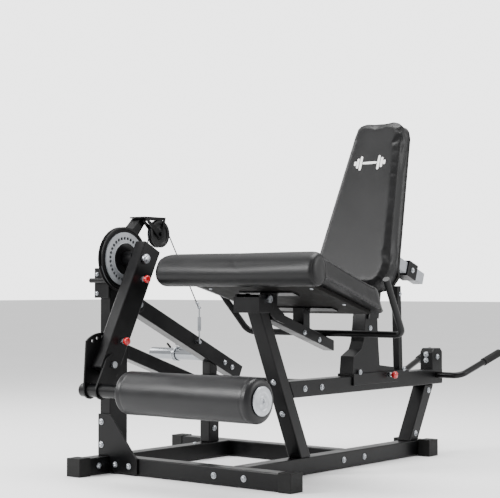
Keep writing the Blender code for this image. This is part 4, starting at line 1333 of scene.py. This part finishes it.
@dataclass
class Upholstery:
    """The seat and the backrest, with their seams and the printed sign."""

    shop: Workshop

    def build(self) -> None:
        """Makes both cushions and sews them."""
        lean = math.radians(SEAT_TILT)
        seat = Cushion(self.shop, "seat_pad", "seat",
                       (0.0, -math.sin(lean), -math.cos(lean)), 0.0062).build()
        sewing = Stitcher(self.shop, seat, "seat")
        for name, side in (("right", 1), ("left", -1)):
            edge = [(side * 352, *on_seat(a, 0)) for a in (70, 90)]
            edge += [(side * (352 - 51 * (a - 90) / 370), *on_seat(a, 0)) for a in range(110, 430, 20)]
            sewing.seam(f"seat_seam_{name}", edge)
            t = np.linspace(0, 2 * math.pi, 60)
            circle = [(side * 350, ROLL_AXIS[0] + 53 * math.cos(a), ROLL_AXIS[1] + 53 * math.sin(a)) for a in t]
            sewing.seam(f"seat_roll_seam_{name}", circle)
        rear = [(x, *on_seat(468, -2)) for x in range(-262, 263, 12)]
        sewing.seam("seat_seam_rear", rear)
        rear = [(x, *on_seat(530, -64)) for x in range(-255, 256, 12)]
        sewing.seam("seat_seam_rear_low", rear)

        lean = math.radians(BACK_LEAN)
        back = Cushion(self.shop, "back_pad", "backrest",
                       (0.0, math.cos(lean), -math.sin(lean)), 0.0056).build()
        sewing = Stitcher(self.shop, back, "backrest")
        outline = self._outline(183.0, 118.0, 707.0, 0.0)
        for name, depth in (("front", 7.0), ("rear", 64.0)):
            edge = [(x, *on_back(u, depth)) for x, u in outline + outline[:1]]
            sewing.seam(f"back_seam_{name}", edge)
        middle = 520.0
        bar = [(0.0, middle, 34.0, 5.0)]
        plates = [(s * x, middle, 5.5, h)
                  for s in (-1, 1) for x, h in ((41.0, 30.0), (55.0, 21.0), (67.0, 9.0))]
        sewing.print_mark("back_sign", bar + plates)

    @staticmethod
    def _outline(low: float, top: float, length: float, inset: float) -> list[tuple[float, float]]:
        """The backrest's outline as (half width, height) pairs down both sides.

        Args:
            low: half width near the foot.
            top: half width at the top.
            length: height of the pad.
            inset: how far inside the pad the outline runs.

        Returns:
            The closed outline's points.
        """
        rows = [(inset, low * 0.52), (inset + 9, low * 0.72), (inset + 30, low * 0.88),
                (inset + 62, low * 0.97),
                (inset + 100, low - inset), (length - 52, top - inset + 2), (length - 22, top - inset - 9),
                (length - 7, top - inset - 26), (length - inset, top - inset - 52)]
        return [(w, u) for u, w in rows] + [(-w, u) for u, w in reversed(rows)]


# --- studio -----------------------------------------------------------------
@dataclass
class Studio:
    """Camera, lights and floor.

    Args:
        shop: the workshop.
        camera: where the camera stands, mm.
        azimuth: how far it is turned to the machine's right side, degrees.
        rise: how far it looks up, degrees.
        lens: focal length on a 36 mm sensor, mm.
    """

    shop: Workshop
    camera: tuple[float, float, float] = (3020.0, -3627.0, 670.0)
    azimuth: float = 38.9
    rise: float = 1.65
    lens: float = 99.9

    def place_camera(self) -> None:
        """Sets the camera on the scene."""
        data = bpy.data.cameras.new("studio_camera")
        data.lens, data.sensor_width = self.lens, 36.0
        camera = bpy.data.objects.new("studio_camera", data)
        a, p = math.radians(self.azimuth), math.radians(self.rise)
        look = Vector((-math.sin(a) * math.cos(p), math.cos(a) * math.cos(p), math.sin(p)))
        camera.matrix_world = Matrix.Translation(Vector(self.shop.layout.row(self.camera))) @ (
            look.to_track_quat("-Z", "Y").to_matrix().to_4x4()
        )
        bpy.context.scene.collection.objects.link(camera)
        bpy.context.scene.camera = camera

    def build(self) -> None:
        """Makes the floor, the pale surround and the soft lights."""
        size = 60.0
        corners = [(-size, -size), (size, -size), (size, size), (-size, size)]
        mesh = bpy.data.meshes.new("studio_floor")
        mesh.from_pydata([(x, y, -0.0004) for x, y in corners], [], [[0, 1, 2, 3]])
        floor = bpy.data.objects.new("studio_floor", mesh)
        bpy.context.scene.collection.objects.link(floor)
        self.shop.paint.dress(floor, FLOOR_PAINT)
        world = bpy.data.worlds.new("studio_surround")
        bpy.context.scene.world = world
        world.use_nodes = True
        tree = world.node_tree
        tree.nodes.clear()
        glow = add_node(tree, "ShaderNodeBackground", {"Color": linear("ffffff"), "Strength": 1.15})
        seen = add_node(tree, "ShaderNodeBackground", {"Color": linear("ffffff"), "Strength": 3.4})
        ray = add_node(tree, "ShaderNodeLightPath").outputs["Is Camera Ray"]
        both = add_node(tree, "ShaderNodeMixShader", links={"Fac": ray})
        tree.links.new(glow.outputs["Background"], both.inputs[1])
        tree.links.new(seen.outputs["Background"], both.inputs[2])
        add_node(tree, "ShaderNodeOutputWorld", links={"Surface": both.outputs["Shader"]})
        self._lamp("key", (-1.6, -3.6, 2.4), 210.0, 1.2)
        self._lamp("left_fill", (-3.4, -0.6, 2.2), 60.0, 1.6)
        self._lamp("overhead", (0.2, 0.2, 3.6), 170.0, 2.2)
        self._lamp("right_edge", (3.2, 1.6, 1.8), 60.0, 1.4)

    @staticmethod
    def _lamp(name: str, place: tuple[float, float, float], watts: float, size: float) -> None:
        """A square soft box aimed at the middle of the machine.

        Args:
            name: the lamp's name.
            place: where it stands, m.
            watts: its power.
            size: length of its side, m.
        """
        data = bpy.data.lights.new(name, "AREA")
        data.energy, data.size = watts, size
        lamp = bpy.data.objects.new(name, data)
        lamp.location = place
        aim = Vector((0.0, -0.1, 0.6)) - Vector(place)
        lamp.rotation_euler = aim.to_track_quat("-Z", "Y").to_euler()
        bpy.context.scene.collection.objects.link(lamp)


def dress_frame(frame: dict[str, object], paint: Paintshop) -> None:
    """Gives every carried-over CAD node the finish of its slot.

    Args:
        paint: the paint shop.
    """
    slots = {entry["node"]: entry["material_slot"] for entry in frame["record"]["subparts"]}
    for name, node in frame["nodes"].items():
        paint.dress(node, BY_SLOT[slots[name]])
        LOG.info("%s keeps its CAD shape in %s", name, slots[name])


def main() -> None:
    """Builds the machine's pieces in order."""
    logging.basicConfig(level=logging.INFO, format="%(name)s: %(message)s")
    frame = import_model()
    paint = Paintshop()
    shop = Workshop(Layout.from_frame(), paint)
    studio = Studio(shop)
    studio.place_camera()
    dress_frame(frame, paint)
    for unit in (CamAndArm, Roller, LeverAndCable, Handles, Upholstery, Fasteners):
        LOG.info("building %s", unit.__name__)
        unit(shop).build()
    studio.build()


if __name__ == "__main__":
    main()
